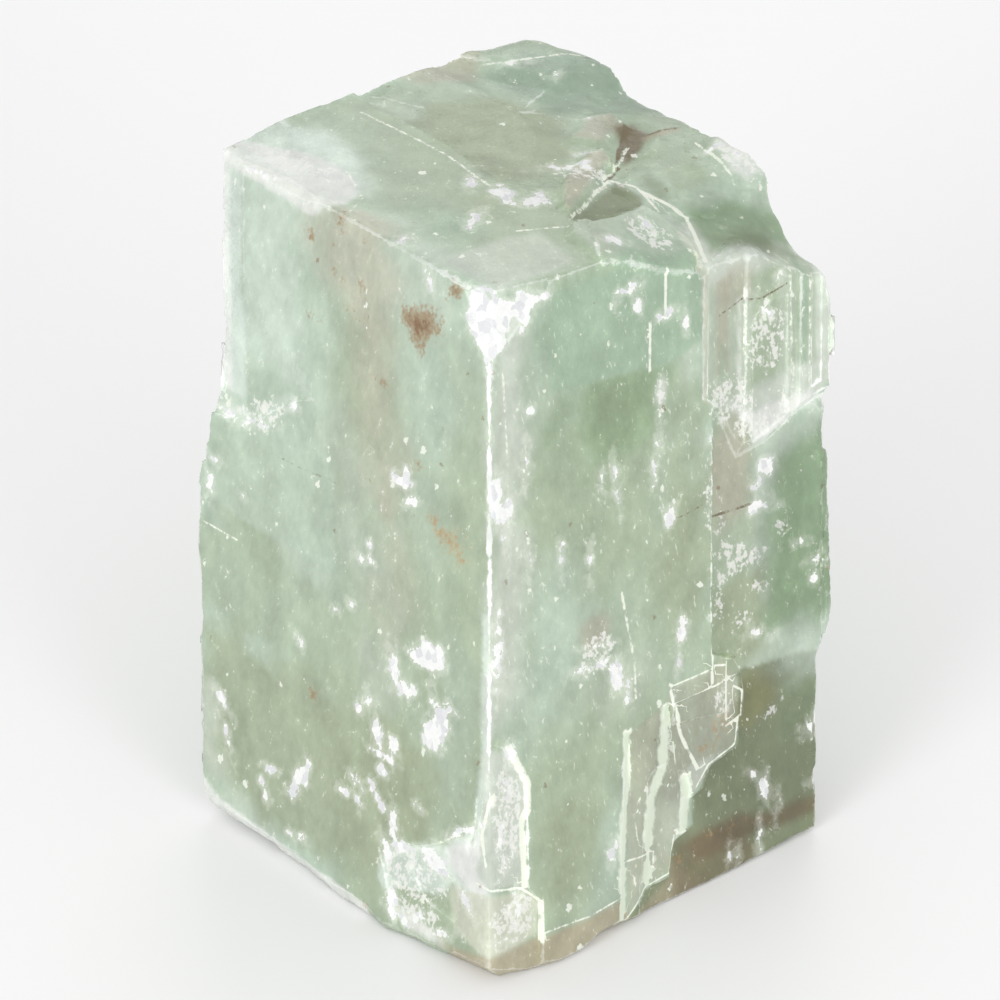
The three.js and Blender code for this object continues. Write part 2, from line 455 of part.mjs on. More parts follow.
const edges = [
  // the crushed front edge
  bevel(U, V, [
    [[0, 0, 2], 1.2, 1.2], [[0, 0, 7], 0.7, 0.7], [[0, 0, 12], 0.35, 0.3], [[0, 0, 20], 0.3, 0.2],
    [[0, 0, 28], 0.35, 0.3], [[0, 0, 36], 0.45, 0.25], [[0, 0, 44], 0.3, 0.35],
    [[0, 0, 47], 0.3, 0.5], [[0, 0, 50], 0.2, 1.0], [[0, 0, 55], 0.25, 1.0],
    [[0, 0, 58], 0.4, 0.5], [[0, 0, 64], 0.5, 0.7], [[0, 0, 70], 0.6, 0.8], [[0, 0, 78], 0.9, 1.0],
    [[0, 0, 88], 1.6, 1.6],
  ]),
  brokenCorner([0, 0, 0.2], [3.4, 3.2, 9.6]),
  // the top edge of the left face
  bevel(V, W, [
    [[48, 0, 1.0], 1.0, 1.2], [[40, 0, 0.8], 0.9, 1.0], [[34, 0, 0.6], 1.2, 1.1],
    [[28.5, 0, 0.6], 0.9, 0.9], [[26, 0, 0.5], 0.3, 0.3], [[16, 0, 0.4], 0.2, 0.2],
    [[8, 0, 0.3], 0.4, 0.3], [[-2, 0, 0.3], 0.5, 0.4],
  ]),
  // the foot of the left face
  bevel(UP_W, V, [
    [[49, 0, BLOCK_W], 2.8, 1.8], [[38, 0, BLOCK_W], 2.7, 1.65], [[30, 0, BLOCK_W], 2.7, 1.6],
    [[22, 0, BLOCK_W], 2.0, 0.8], [[17, 0, BLOCK_W], 0.8, 0.5], [[14, 0, BLOCK_W], 1.8, 1.3],
    [[11, 0, BLOCK_W], 2.1, 1.7], [[7, 0, BLOCK_W], 2.8, 2.6], [[4, 0, BLOCK_W], 3.4, 3.3],
    [[-2, 0, BLOCK_W], 3.9, 3.9],
  ]),
  // the foot of the right face
  bevel(UP_W, U, [
    [[0, -2, BLOCK_W], 4.2, 4.4], [[0, 1, BLOCK_W], 3.8, 3.8], [[0, 4.3, BLOCK_W], 2.3, 2.2],
    [[0, 7, BLOCK_W], 1.5, 1.3], [[0, 9.9, BLOCK_W], 0.6, 0.5], [[0, 13.4, BLOCK_W], 0.6, 0.5],
    [[0, 16.6, BLOCK_W], 2.0, 1.7], [[0, 21, BLOCK_W], 1.4, 1.3], [[0, 27, BLOCK_W], 1.5, 1.6],
    [[0, 36, BLOCK_W], 1.6, 1.6], [[0, 51, BLOCK_W], 1.8, 2.0],
  ]),
  // the edges that bound the two back faces
  frayed([46.2, 0, 44], [46.2, 0, 84], TOWARDS_FRONT_U, V, 0.7),
  frayed([42.1, 0.3, 0], [42.3, 0.3, 31], TOWARDS_FRONT_U, V, 0.6),
  frayed([1.3, 47.6, 31], [1.3, 48, 88], U, TOWARDS_FRONT_V, 0.8),
  frayed([0.8, 48.6, 16], [0.8, 48.6, 31], U, TOWARDS_FRONT_V, 0.7),
  frayed([42.6, 46.8, 4], [45.6, 47.6, 88], TOWARDS_FRONT_U, TOWARDS_FRONT_V, 1.8),
  frayed([45.4, 0, BLOCK_W], [45.4, 49, BLOCK_W], TOWARDS_FRONT_U, UP_W, 1.6),
  frayed([0, 48.1, BLOCK_W], [46, 48.1, BLOCK_W], TOWARDS_FRONT_V, UP_W, 1.6),
];

// What the cuts leave loose falls away, so only the largest body is the crystal.
const broken = wasm.Manifold.difference([unbroken(), ...cuts, ...edges]).simplify(SLIVER);
const [crystal] = broken.decompose().sort((a, b) => b.volume() - a.volume());

// Lean crystal coordinates to the real angles, with the middle of the base on the origin.
const turn = THREE.MathUtils.degToRad(U_TURN);
const rest = THREE.MathUtils.degToRad(FACE_ANGLE - U_TURN);
const uEdge = new THREE.Vector3(-Math.sin(turn), Math.cos(turn), 0);
const vEdge = new THREE.Vector3(Math.sin(rest), Math.cos(rest), 0);
const wEdge = new THREE.Vector3(0, -LEAN, -Math.sqrt(1 - LEAN * LEAN));
const lean = new THREE.Matrix4().makeBasis(uEdge, vEdge, wEdge);
const baseMiddle = new THREE.Vector3(BLOCK_U / 2, BLOCK_V / 2, BLOCK_W).applyMatrix4(lean);
lean.premultiply(new THREE.Matrix4().makeTranslation(baseMiddle.negate()));

const made = crystal.getMesh();
const geometry = new THREE.BufferGeometry();
geometry.setAttribute("position", new THREE.BufferAttribute(made.vertProperties, made.numProp));
geometry.setIndex(new THREE.BufferAttribute(made.triVerts, 1));
geometry.applyMatrix4(lean);

const calcite = new THREE.Mesh(
  geometry,
  new THREE.MeshStandardMaterial({ color: CRYSTAL_COLOUR, roughness: 0.25, metalness: 0 }),
);
calcite.name = "calcite_crystal";

const group = new THREE.Group();
group.add(calcite);
export default group;
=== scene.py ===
"""Calcite: the looks of a pale green cleavage rhomb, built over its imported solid."""

import math

import bmesh
import bpy
import numpy as np
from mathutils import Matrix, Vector, geometry, kdtree


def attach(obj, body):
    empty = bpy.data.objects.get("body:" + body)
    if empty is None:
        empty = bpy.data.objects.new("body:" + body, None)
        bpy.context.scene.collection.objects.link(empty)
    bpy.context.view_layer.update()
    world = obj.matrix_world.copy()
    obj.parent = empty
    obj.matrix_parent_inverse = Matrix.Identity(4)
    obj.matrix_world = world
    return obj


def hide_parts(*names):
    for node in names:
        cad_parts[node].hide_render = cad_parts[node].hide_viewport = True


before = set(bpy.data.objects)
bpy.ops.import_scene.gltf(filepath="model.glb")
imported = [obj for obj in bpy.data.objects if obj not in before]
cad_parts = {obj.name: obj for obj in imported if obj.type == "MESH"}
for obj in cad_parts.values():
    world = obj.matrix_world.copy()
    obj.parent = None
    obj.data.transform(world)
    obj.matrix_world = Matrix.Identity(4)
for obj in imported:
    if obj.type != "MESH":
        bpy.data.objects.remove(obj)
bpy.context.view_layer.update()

MM = 0.001

# ---- the crystal's own directions ----
# Crystal coordinates (u, v, w) are millimetres along the three edges that leave the top front
# corner: u to the back left, v to the back right, w down the front edge.
BLOCK = np.array([46.7, 49.2, 85.3])
FACE_ANGLE = math.radians(101.92)
U_TURN = math.radians(47.0)
LEAN = 0.33
AXES = np.array([
    [-math.sin(U_TURN), math.cos(U_TURN), 0.0],
    [math.sin(FACE_ANGLE - U_TURN), math.cos(FACE_ANGLE - U_TURN), 0.0],
    [0.0, -LEAN, -math.sqrt(1.0 - LEAN * LEAN)],
])
BASE_MIDDLE = np.array([BLOCK[0] / 2, BLOCK[1] / 2, BLOCK[2]])
TO_CRYSTAL = np.linalg.inv(AXES)


def crystal_coordinates(places):
    """Row frame places, in millimetres, as crystal coordinates."""
    return places @ TO_CRYSTAL + BASE_MIDDLE


def unit(rows):
    return rows / np.maximum(np.linalg.norm(rows, axis=-1, keepdims=True), 1e-12)


def cleavage_normals():
    """Normals of the left, right and top cleavage faces."""
    u, v, w = AXES
    return unit(np.array([np.cross(u, w), np.cross(w, v), np.cross(v, u)]))


# ---- noise ----
def hashed(cells, seed):
    """A repeatable number from -1 to 1 for each integer cell."""
    x, y, z = (cells[..., k].astype(np.int64) for k in range(3))
    h = (x * 73856093) ^ (y * 19349663) ^ (z * 83492791) ^ (seed * 2654435761)
    h = (h ^ (h >> 13)) * 1274126177
    h = (h ^ (h >> 16)) & 0x7FFFFFFF
    return h / float(0x3FFFFFFF) - 1.0


def noise(places, size, seed):
    """Smooth noise from -1 to 1 whose lumps are about `size` millimetres across."""
    p = places / size
    cell = np.floor(p).astype(np.int64)
    f = p - cell
    f = f * f * f * (f * (f * 6 - 15) + 10)
    total = np.zeros(len(p))
    for corner in range(8):
        step = np.array([(corner >> k) & 1 for k in range(3)])
        weight = np.prod(np.where(step, f, 1 - f), axis=1)
        total += weight * hashed(cell + step, seed)
    return total


def fractal(places, size, seed, octaves=3):
    """Noise with finer and finer noise added to it, from about -1 to 1."""
    return sum(noise(places, size / 2 ** k, seed + k) / 2 ** k for k in range(octaves)) / 1.3


def smoothstep(low, high, x):
    t = np.clip((x - low) / (high - low), 0, 1)
    return t * t * (3 - 2 * t)


# ---- the fine surface ----
SEEN = 0.55  # millimetres between points of the surface on the finished faces
UNSEEN = 1.0  # and on the two back faces and the base
AT_EDGES = 0.24  # and close to sharp edges
EDGE_BAND = 0.45  # how far from a sharp edge the surface is that fine
CLEAR = 0.55  # new points stay this share of their spacing away from a region's border
SEEN_FROM = np.array([0.0, -0.76, 0.65])
ASKEW = np.array([0.31, 0.52, 0.79])  # a direction that no face's normal has
SAME_PLANE = math.cos(math.radians(0.6))
SHARP = math.cos(math.radians(14))
MERGED = 0.03  # points of the solid this close, in millimetres, are one
INSIDE_WITH_HOLES = 2  # what the triangulation gives back: nothing outside, nothing in holes
CHUNK = 2048


def cad_surface(node):
    """The node's points in millimetres and its triangles, with the points merged."""
    bm = bmesh.new()
    bm.from_mesh(node.data)
    bmesh.ops.scale(bm, vec=(1 / MM,) * 3, verts=bm.verts)
    bmesh.ops.remove_doubles(bm, verts=bm.verts, dist=MERGED)
    bmesh.ops.dissolve_degenerate(bm, dist=0.02, edges=bm.edges)
    bmesh.ops.triangulate(bm, faces=bm.faces)
    bm.verts.index_update()
    points = np.array([v.co for v in bm.verts])
    triangles = np.array([[v.index for v in f.verts] for f in bm.faces])
    bm.free()
    return points, triangles


def normals_of(points, triangles):
    """Unit normal and area of each triangle."""
    a, b, c = (points[triangles[:, k]] for k in range(3))
    cross = np.cross(b - a, c - a)
    size = np.linalg.norm(cross, axis=1)
    return cross / np.maximum(size, 1e-12)[:, None], size / 2


def sides_of(triangles):
    """Each side once, as a pair of points, with the two triangles that share it."""
    sides = np.concatenate([triangles[:, [0, 1]], triangles[:, [1, 2]], triangles[:, [2, 0]]])
    owner = np.tile(np.arange(len(triangles)), 3)
    ordered = np.sort(sides, axis=1)
    order = np.lexsort((ordered[:, 1], ordered[:, 0]))
    return ordered[order][::2], owner[order].reshape(-1, 2)


def grouped(count, pairs):
    """A group number for each of some things: both of each pair are in one group."""
    group = np.arange(count)

    def root(i):
        while group[i] != i:
            group[i] = group[group[i]]
            i = group[i]
        return i

    for i, j in pairs:
        group[root(i)] = root(j)
    return np.array([root(i) for i in range(count)])


def tree_of(places):
    tree = kdtree.KDTree(len(places))
    for i, place in enumerate(places):
        tree.insert(place, i)
    tree.balance()
    return tree


def distances(tree, places):
    """Distance of each place to the nearest point of a tree."""
    return np.fromiter((tree.find(place)[2] for place in places), float, len(places))


def hex_grid(low, high, spacing):
    """A triangular lattice of 2-D points over a box."""
    rows = np.arange(low[1], high[1], spacing * math.sqrt(3) / 2)
    columns = np.arange(low[0], high[0] + spacing, spacing)
    x, y = np.meshgrid(columns, rows)
    x = x + (np.arange(len(rows)) % 2)[:, None] * spacing / 2
    return np.stack([x.ravel(), y.ravel()], axis=1)


def inside(places, starts, ends):
    """Whether each 2-D place lies within the loops that the directed sides draw."""
    result = np.zeros(len(places), bool)
    for chunk in range(0, len(places), CHUNK):
        x, y = places[chunk:chunk + CHUNK].T[:, :, None]
        (ax, ay), (bx, by) = starts.T, ends.T
        crosses = (ay > y) != (by > y)
        with np.errstate(divide="ignore", invalid="ignore"):
            at = ax + (y - ay) * (bx - ax) / (by - ay)
        result[chunk:chunk + CHUNK] = np.sum(crosses & (x < at), axis=1) % 2 == 1
    return result


def seen(normal):
    """Whether a face looks to the front or up, as the three finished faces do."""
    return normal @ SEEN_FROM > 0.05


def inner_points(rim, edges, lifted, facing, crest_tree):
    """New 2-D points inside a flat region, closer together near its sharp edges if seen."""
    low, high = rim.min(axis=0), rim.max(axis=0)
    if max(high - low) < (SEEN if facing else UNSEEN):
        return np.zeros((0, 2))
    rim_tree = tree_of(np.pad(rim, ((0, 0), (0, 1))))

    def grid(spacing, nearest, furthest):
        places = hex_grid(low, high, spacing)
        places = places[inside(places, rim[edges[:, 0]], rim[edges[:, 1]])]
        from_crest = distances(crest_tree, lifted(places))
        places = places[(from_crest >= nearest) & (from_crest < furthest)]
        return places[distances(rim_tree, np.pad(places, ((0, 0), (0, 1)))) > CLEAR * spacing]

    if not facing:
        return grid(UNSEEN, 0, np.inf)
    return np.concatenate([grid(SEEN, EDGE_BAND, np.inf), grid(AT_EDGES, 0, EDGE_BAND)])


def refine(points, triangles):
    """Points and triangles of the same faceted surface, with sides as short as wanted."""
    normals, areas = normals_of(points, triangles)
    sides, owners = sides_of(triangles)
    turn = np.sum(normals[owners[:, 0]] * normals[owners[:, 1]], axis=1)
    group = grouped(len(triangles), owners[turn > SAME_PLANE])

    # points along the borders between flat regions
    fine = list(points)
    chains = {}
    crest = []
    border = group[owners[:, 0]] != group[owners[:, 1]]
    for (i, j), is_sharp, pair in zip(sides[border], turn[border] < SHARP, owners[border]):
        facing = seen(normals[pair[0]]) or seen(normals[pair[1]])
        spacing = UNSEEN if not facing else AT_EDGES if is_sharp else SEEN
        count = max(1, round(np.linalg.norm(points[j] - points[i]) / spacing))
        chain = [i, *range(len(fine), len(fine) + count - 1), j]
        fine.extend(points[i] + (points[j] - points[i]) * k / count for k in range(1, count))
        chains[i, j], chains[j, i] = chain, chain[::-1]
        crest += chain if is_sharp else []
    fine = np.array(fine)
    crest_tree = tree_of(fine[np.unique(crest)])

    regions = {}
    for triangle, number in enumerate(group):
        regions.setdefault(number, []).append(triangle)
    all_points, all_triangles, total = [fine], [], len(fine)
    for members in regions.values():
        normal = unit((normals[members] * areas[members][:, None]).sum(axis=0))
        across = unit(np.cross(normal, ASKEW))
        plane = np.stack([across, np.cross(normal, across)], axis=1)
        corners = triangles[members]
        directed = []
        for i, j in np.stack([corners, np.roll(corners, -1, axis=1)], axis=2).reshape(-1, 2):
            chain = chains.get((i, j), [])
            directed += zip(chain, chain[1:])
        rim, edges = np.unique(directed, return_inverse=True)
        edges = edges.reshape(-1, 2)
        height = (fine[rim] @ normal).mean()

        def lifted(places):
            return places @ plane.T + normal * height

        flat = fine[rim] @ plane
        inner = inner_points(flat, edges, lifted, seen(normal), crest_tree)
        flat = [Vector(place) for place in np.concatenate([flat, inner])]
        made = geometry.delaunay_2d_cdt(flat, edges.tolist(), [], INSIDE_WITH_HOLES, 1e-7)
        source = [known[0] if known else -1 for known in made[3]]
        found = np.array([[source[k] for k in corners] for corners in made[2]])
        numbers = np.concatenate([rim, total + np.arange(len(inner))])
        all_triangles.append(numbers[found[(found >= 0).all(axis=1)]])
        all_points.append(lifted(inner))
        total += len(inner)
    return np.concatenate(all_points), np.concatenate(all_triangles)


class Surface:
    """The fine surface: its points, its triangles, and the sides with their two triangles."""

    def __init__(self, points, triangles):
        self.points, self.triangles = points, triangles
        self.sides, self.owners = sides_of(triangles)
        self.degree = np.maximum(np.bincount(self.sides.ravel(), minlength=len(points)), 1)

    def normals(self):
        normals, areas = normals_of(self.points, self.triangles)
        total = np.zeros_like(self.points)
        for k in range(3):
            np.add.at(total, self.triangles[:, k], normals * areas[:, None])
        return unit(total)

    def pull(self):
        """How far each point is from its neighbours' mean."""
        i, j = self.sides.T
        mean = [np.bincount(i, column[j], len(column)) + np.bincount(j, column[i], len(column))
                for column in self.points.T]
        return np.stack(mean, axis=1) / self.degree[:, None] - self.points

    def relax(self, weights, times):
        """Moves each point towards its neighbours' mean, by its weight."""
        for _ in range(times):
            self.points = self.points + self.pull() * weights[:, None]

    def of_points(self, values):
        """The mean, at each point, of a value that its triangles have."""
        corners, values = self.triangles.ravel(), np.repeat(values, 3)
        total, count = (np.bincount(corners, part, len(self.points)) for part in (values, None))
        return total / np.maximum(count, 1)

    def crests(self):
        """Which sides are sharp edges, and which sides are convex."""
        normals, _ = normals_of(self.points, self.triangles)
        first, second = self.owners.T
        turn = np.sum(normals[first] * normals[second], axis=1)
        middles = self.points[self.triangles].mean(axis=1)
        convex = np.sum((middles[second] - middles[first]) * normals[first], axis=1) < 0
        return turn < SHARP, convex

    def closeness(self, chosen):
        """How near each point is to the chosen sides: 1 on them, and 0 at CREST_REACH."""
        tree = tree_of(self.points[np.unique(self.sides[chosen])])
        return 1 - np.minimum(distances(tree, self.points), CREST_REACH) / CREST_REACH


# ---- what lies where ----
# Places on a face are given in millimetres along it: s, t are u, w on the left face, v, w on
# the right face and u, v on top. A place also fades with the depth below that face, and round
# the edges that the face shares with the others. The last two faces are the unseen back ones.
FACE_COORDINATES = {"left": (0, 2, 1), "right": (1, 2, 0), "top": (0, 1, 2),
                    "back left": (1, 2, 0), "back right": (0, 2, 1)}
FACE_PLACE = {"left": 0, "right": 0, "top": 0, "back left": BLOCK[0], "back right": BLOCK[1]}
FACE_DEPTH = {"left": 5.0, "right": 4.0, "top": 11.0, "back left": 5.0, "back right": 5.0}


def on_face(crystal, face, s=0.0, t=0.0, turn=0.0):
    """Each point's place on a face, from a place and a turn there, and its depth below it."""
    along, up, into = FACE_COORDINATES[face]
    c, n = math.cos(math.radians(turn)), math.sin(math.radians(turn))
    x, y = crystal[:, along] - s, crystal[:, up] - t
    depth = np.abs(crystal[:, into] - FACE_PLACE[face])
    if face == "top":
        around = smoothstep(2.0, 1.4, crystal[:, :2].min(axis=1)) * np.minimum(depth / 2, 2)
    else:
        corner = smoothstep(0.8, 0.2, crystal[:, along]) + smoothstep(3, 1.5, crystal[:, 2])
        around = corner * depth / 1.5
    return x * c + y * n, y * c - x * n, depth / FACE_DEPTH[face] + around


def oval(s, t, wide, high, turn=0.0):
    """How far inside an oval, given by its half width and half height, a face's points lie."""
    def room(crystal, face):
        x, y, _ = on_face(crystal, face, s, t, turn)
        return (1 - np.sqrt((x / wide) ** 2 + (y / high) ** 2)) * min(wide, high)
    return room


def block(s, t, wide, high):
    """The same for a rectangle."""
    def room(crystal, face):
        x, y, _ = on_face(crystal, face, s, t)
        return np.minimum(wide - np.abs(x), high - np.abs(y))
    return room


def patch(*corners):
    """The same for a polygon."""
    starts = np.array(corners, float)
    ends = np.roll(starts, -1, axis=0)

    def room(crystal, face):
        places = np.stack(on_face(crystal, face)[:2], axis=1)
        distance = np.full(len(places), np.inf)
        for start, end in zip(starts, ends):
            side = end - start
            part = np.clip((places - start) @ side / (side @ side), 0, 1)
            away = places - start - part[:, None] * side
            distance = np.minimum(distance, np.hypot(*away.T))
        return np.where(inside(places, starts, ends), distance, -distance)
    return room


def strewn(seed, count, narrowest, widest, longest):
    """Random ovals over a back face, from its top down to its base."""
    draw = np.random.default_rng(seed).random((count, 5))
    return [(46 * s + 1, 72 * t + 10, narrowest + (widest - narrowest) * wide ** 3,
             narrowest + (longest - narrowest) * high ** 3, 60 * turn - 30)
            for s, t, wide, high, turn in draw.tolist()]


# Shells of the broken top, as outlines (u, v).
FRONT_SHELL = [(5.9, 15.8), (7.2, 18.1), (6.9, 21.7), (8.2, 28.4), (8.3, 32.4), (5.6, 32.2),
    (2.4, 30.9)]
MIDDLE_SHELL = [(12.4, 20.6), (16.7, 25.5), (19.3, 30.2), (20.1, 33.6), (17, 32.5), (15.3, 28.7),
    (12, 24.1), (8.2, 17.9)]
BACK_SHELL = [(16.2, 44.2), (17.5, 49), (8.5, 49), (8.4, 43.5), (10.5, 42.3)]


# ---- the broken surface ----
CREST_REACH = 0.6  # millimetres from a sharp edge over which its wear fades out
ROUGH_FROM = math.cos(math.radians(12))  # from this far off a cleavage plane, a face is rough
CLEAN_TO = math.cos(math.radians(4))  # and up to this far off one, it is clean
MELT_ROUNDS = 70
SPIKE = 0.33  # millimetres that a point may stand off from its neighbours
RIPPLE = 0.16  # heights of the relief on fractures, in millimetres
FINE_RIPPLE = 0.06
HACKLE = 0.10
SILK = 0.012  # and on the cleavage faces
NIBBLE = 0.04  # how far edges are worn, where nothing is chipped off
CHIP = 0.20  # and by small and large chips
LARGE_CHIP = 0.25
BEVEL = 0.85  # millimetres, of u and v together, that the left edge is worn back at least
PLUG = (20.0, 38.6, 3.4, 5.3)  # the place (u, v), radius and least depth w of a plugged hole
TOP_DEPTH = 20  # every point of the broken top is less deep than this
# Scales and hollows of the broken top: their outline (u, v), height, and rim's half width.
SCALES = [
    ([*FRONT_SHELL, (-1, 26.5), (-1, 15)], 0.8, 0.35),
    (MIDDLE_SHELL, 0.7, 0.35),
    ([(22.8, 31.1), (26, 36.8), (25.9, 40.1), (22.7, 39.9), (20.7, 34.2)], 0.5, 0.4),
    ([(24.2, 38), (24, 41.4), (21, 42), (18.4, 37.4), (20.4, 36.4)], -0.4, 0.9),
    (BACK_SHELL, 0.5, 0.5),
    ([(44, 31), (43, 52), (30, 52), (33, 38)], 0.9, 1.5),
]


def melted(crystal):
    """Where fractures were worn round: behind the top's middle, and at three spots beside."""
    u, v, w = crystal.T
    top = smoothstep(26, 21, u) * smoothstep(2, 4, u) * smoothstep(16, 20, v)
    top = np.maximum(top, 0.8 * smoothstep(35, 38, v) * smoothstep(2, 4, u))
    top *= smoothstep(49, 47.5, v) * smoothstep(18, 14, w)
    flake = 0.3 * smoothstep(45.5, 47, v) * smoothstep(32, 35, w) * smoothstep(64, 61, w)
    seam = smoothstep(0.8, 1.6, u) * smoothstep(7, 5.5, u) * smoothstep(2, 1.2, v)
    seam *= smoothstep(58, 60, w) * smoothstep(78, 76, w)
    return np.max([top, flake, seam], axis=0)


def plugged(points):
    """Points with the narrow hole in the top filled up to the slope round it."""
    u, v, w = crystal_coordinates(points).T
    middle_u, middle_v, radius, least_depth = PLUG
    within = smoothstep(radius, 0.7 * radius, np.hypot(u - middle_u, v - middle_v))
    over = np.maximum(w - least_depth, 0) * within * (w < TOP_DEPTH)
    return points - over[:, None] * AXES[2]


def worn_back(points):
    """Points with the bits that stand between the chips of the left edge taken off."""
    u, v, w = crystal_coordinates(points).T
    over = np.maximum(BEVEL - (BLOCK[0] - u) - v, 0) * smoothstep(58, 60, w)
    return points + (over[:, None] / 2) * (AXES[1] - AXES[0])


def scales(surface):
    """How far each point is lifted by the scales on top and the bulge at the back right."""
    crystal = crystal_coordinates(surface.points)
    u, v, w = crystal.T
    facing_up = smoothstep(0.35, 0.6, surface.normals()[:, 2]) * smoothstep(TOP_DEPTH, 16, w)
    lift = 0.9 * smoothstep(45, 47.5, v) * smoothstep(9, 6, u)
    lift *= smoothstep(30, 33, w) * smoothstep(64, 61, w)
    for corners, height, rim in SCALES:
        lift += height * smoothstep(-rim, rim, patch(*corners)(crystal, "top")) * facing_up
    return lift


def relief(crystal, rough, closeness, outwards):
    """How far each point is lifted: ripples, hackles and silk, less the chips along edges."""
    ripples = RIPPLE * fractal(crystal * [1, 1, 0.6], 5.0, 11)
    ripples += FINE_RIPPLE * fractal(crystal, 1.3, 23)
    hackles = HACKLE * np.abs(noise(crystal * [1.0, 2.2, 1.0], 2.4, 31)) ** 0.5
    silk = SILK * fractal(crystal * [1, 1, 0.35], 3.0, 41, 2)
    chips = CHIP * smoothstep(0.05, 0.75, fractal(crystal, 1.5, 53, 2))
    chips = NIBBLE + chips + LARGE_CHIP * smoothstep(0.45, 0.8, noise(crystal, 4.0, 59))
    return rough * (ripples - hackles) * (1 - 0.6 * closeness) + silk - chips * outwards ** 2


def broken_surface():
    """The crystal's fine surface, with rough fractures, crisp cleavage faces and worn edges."""
    surface = Surface(*refine(*cad_surface(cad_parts["calcite_crystal"])))
    normals, _ = normals_of(surface.points, surface.triangles)
    alignment = np.abs(normals @ cleavage_normals().T).max(axis=1)
    rough = surface.of_points(1 - smoothstep(ROUGH_FROM, CLEAN_TO, alignment))
    sharp, convex = surface.crests()
    closeness = surface.closeness(sharp)
    outwards = surface.closeness(sharp & convex)

    # fractures lose their facets, then gain scales, and then the relief
    surface.relax(0.6 * rough * (1 - 0.85 * closeness), 10)
    surface.relax(0.6 * melted(crystal_coordinates(surface.points)), MELT_ROUNDS)
    surface.points = plugged(surface.points)
    surface.relax(0.5 * melted(crystal_coordinates(surface.points)), 6)
    surface.points = worn_back(surface.points + surface.normals() * scales(surface)[:, None])
    lift = relief(crystal_coordinates(surface.points), rough, closeness, outwards)
    surface.points = surface.points + surface.normals() * lift[:, None]
    surface.relax(0.45 * smoothstep(0.2, 0.9, closeness), 1)
    for _ in range(3):
        spike = np.linalg.norm(surface.pull(), axis=1) > SPIKE
        surface.relax(0.7 * spike, 1)
    surface.points[:, 2] = np.maximum(surface.points[:, 2], 0)
    smoothed = melted(crystal_coordinates(surface.points))
    return surface, {"rough": rough, "outer": outwards * (1 - 0.85 * smoothed)}


# ---- body colours ----
def srgb(red, green, blue):
    """A colour given by its 0 to 255 screen values, as the shader's linear one."""
    def linear(x):
        x = x / 255
        return x / 12.92 if x <= 0.04045 else ((x + 0.055) / 1.055) ** 2.4
    return (linear(red), linear(green), linear(blue), 1.0)


BODY_TONE = 0.85  # how bright the body is beside its palette
PALETTE = {
    "frost": srgb(246, 247, 243),
    "ice": srgb(222, 236, 224),
    "milk": srgb(212, 219, 207),
    "cream": srgb(218, 222, 202),
    "mint": srgb(190, 209, 189),
    "jade": srgb(170, 194, 168),
    "sage": srgb(174, 190, 163),
    "olive": srgb(166, 178, 148),
    "lake": srgb(158, 179, 158),
    "deep": srgb(150, 177, 139),
    "taupe": srgb(188, 186, 166),
    "sand": srgb(184, 173, 146),
    "khaki": srgb(142, 144, 100),
    # a dark olive: the body's own colour on the right face, and painted shade where the top's zones use it
    "shade": srgb(129, 138, 104),
    "umber": srgb(118, 101, 72),
}

# Each zone: its colour, its shape on the face, how soft its border is in mm, its strength.
ZONES = {}
ZONES["left"] = [
    ("mint", block(35.5, 16, 14, 22), 7, 0.9),
    ("ice", block(34, 10, 7, 16), 5, 0.45),
    ("ice", block(40.8, 13, 2.7, 20), 0.8, 0.9),
    ("frost", block(43.6, 14, 3.2, 20), 0.5, 0.65),
    ("cream", oval(22, 5, 9, 8), 5, 0.4),
    ("taupe", oval(20, 6, 9, 9), 5, 0.55),
    ("taupe", oval(17, 22, 6, 17, 12), 5, 0.6),
    ("taupe", oval(15, 42, 6, 12), 5, 0.4),
    ("mint", oval(9, 17, 6, 8), 4, 0.7),
    ("mint", block(36.5, 37.6, 13, 7.6), 0.8, 0.75),
    ("ice", patch((43.2, 33.8), (42.5, 31.8), (38, 31), (31.4, 25.9), (28.4, 26.5), (34.8, 31.4),
        (39.1, 33.2)), 0.9, 0.5),
    ("sage", block(34, 53, 16, 7.2), 3, 0.7),
    ("olive", block(28, 70, 21, 13), 6, 0.85),
    ("olive", oval(14, 66, 9, 8), 4, 0.7),
    ("mint", oval(4.5, 50, 4.5, 9), 3, 0.4),
    ("ice", patch((0, 38), (1.2, 38), (1.5, 56), (2.6, 62), (2.4, 66), (0, 66)), 0.5, 0.8),
    ("milk", oval(44.5, 72, 2.4, 6, -8), 1.5, 0.5),
    ("milk", oval(44, 78, 4, 3.4), 3, 0.5),
    ("ice", patch((18.1, 78.9), (16.9, 74.2), (7.5, 69.5), (2.4, 65.2), (1.2, 61.6), (0, 61), (0, 80),
        (3.2, 76), (6.5, 74.8), (9.2, 77.8), (14, 79), (16.9, 81)), 0.8, 0.85),
    ("frost", patch((8.4, 70.4), (2.4, 65.6), (0, 64), (0, 76), (3, 75.4), (6.4, 73.6)), 1.2, 0.85),
    ("frost", oval(12.6, 82.4, 5, 1.5, -8), 1, 0.8),
    ("sage", oval(6.6, 79, 3.6, 3), 2, 0.7),
    ("cream", oval(1, 80, 2.2, 6), 1.5, 0.7),
    ("sand", oval(6.5, 83.5, 3, 1.6), 1.5, 0.5),
    ("frost", patch((46.5, 79.5), (42.9, 81.6), (30.6, 82.7), (24.7, 82.8), (19.2, 83.3), (19, 88),
        (47, 88)), 0.4, 0.75),
]
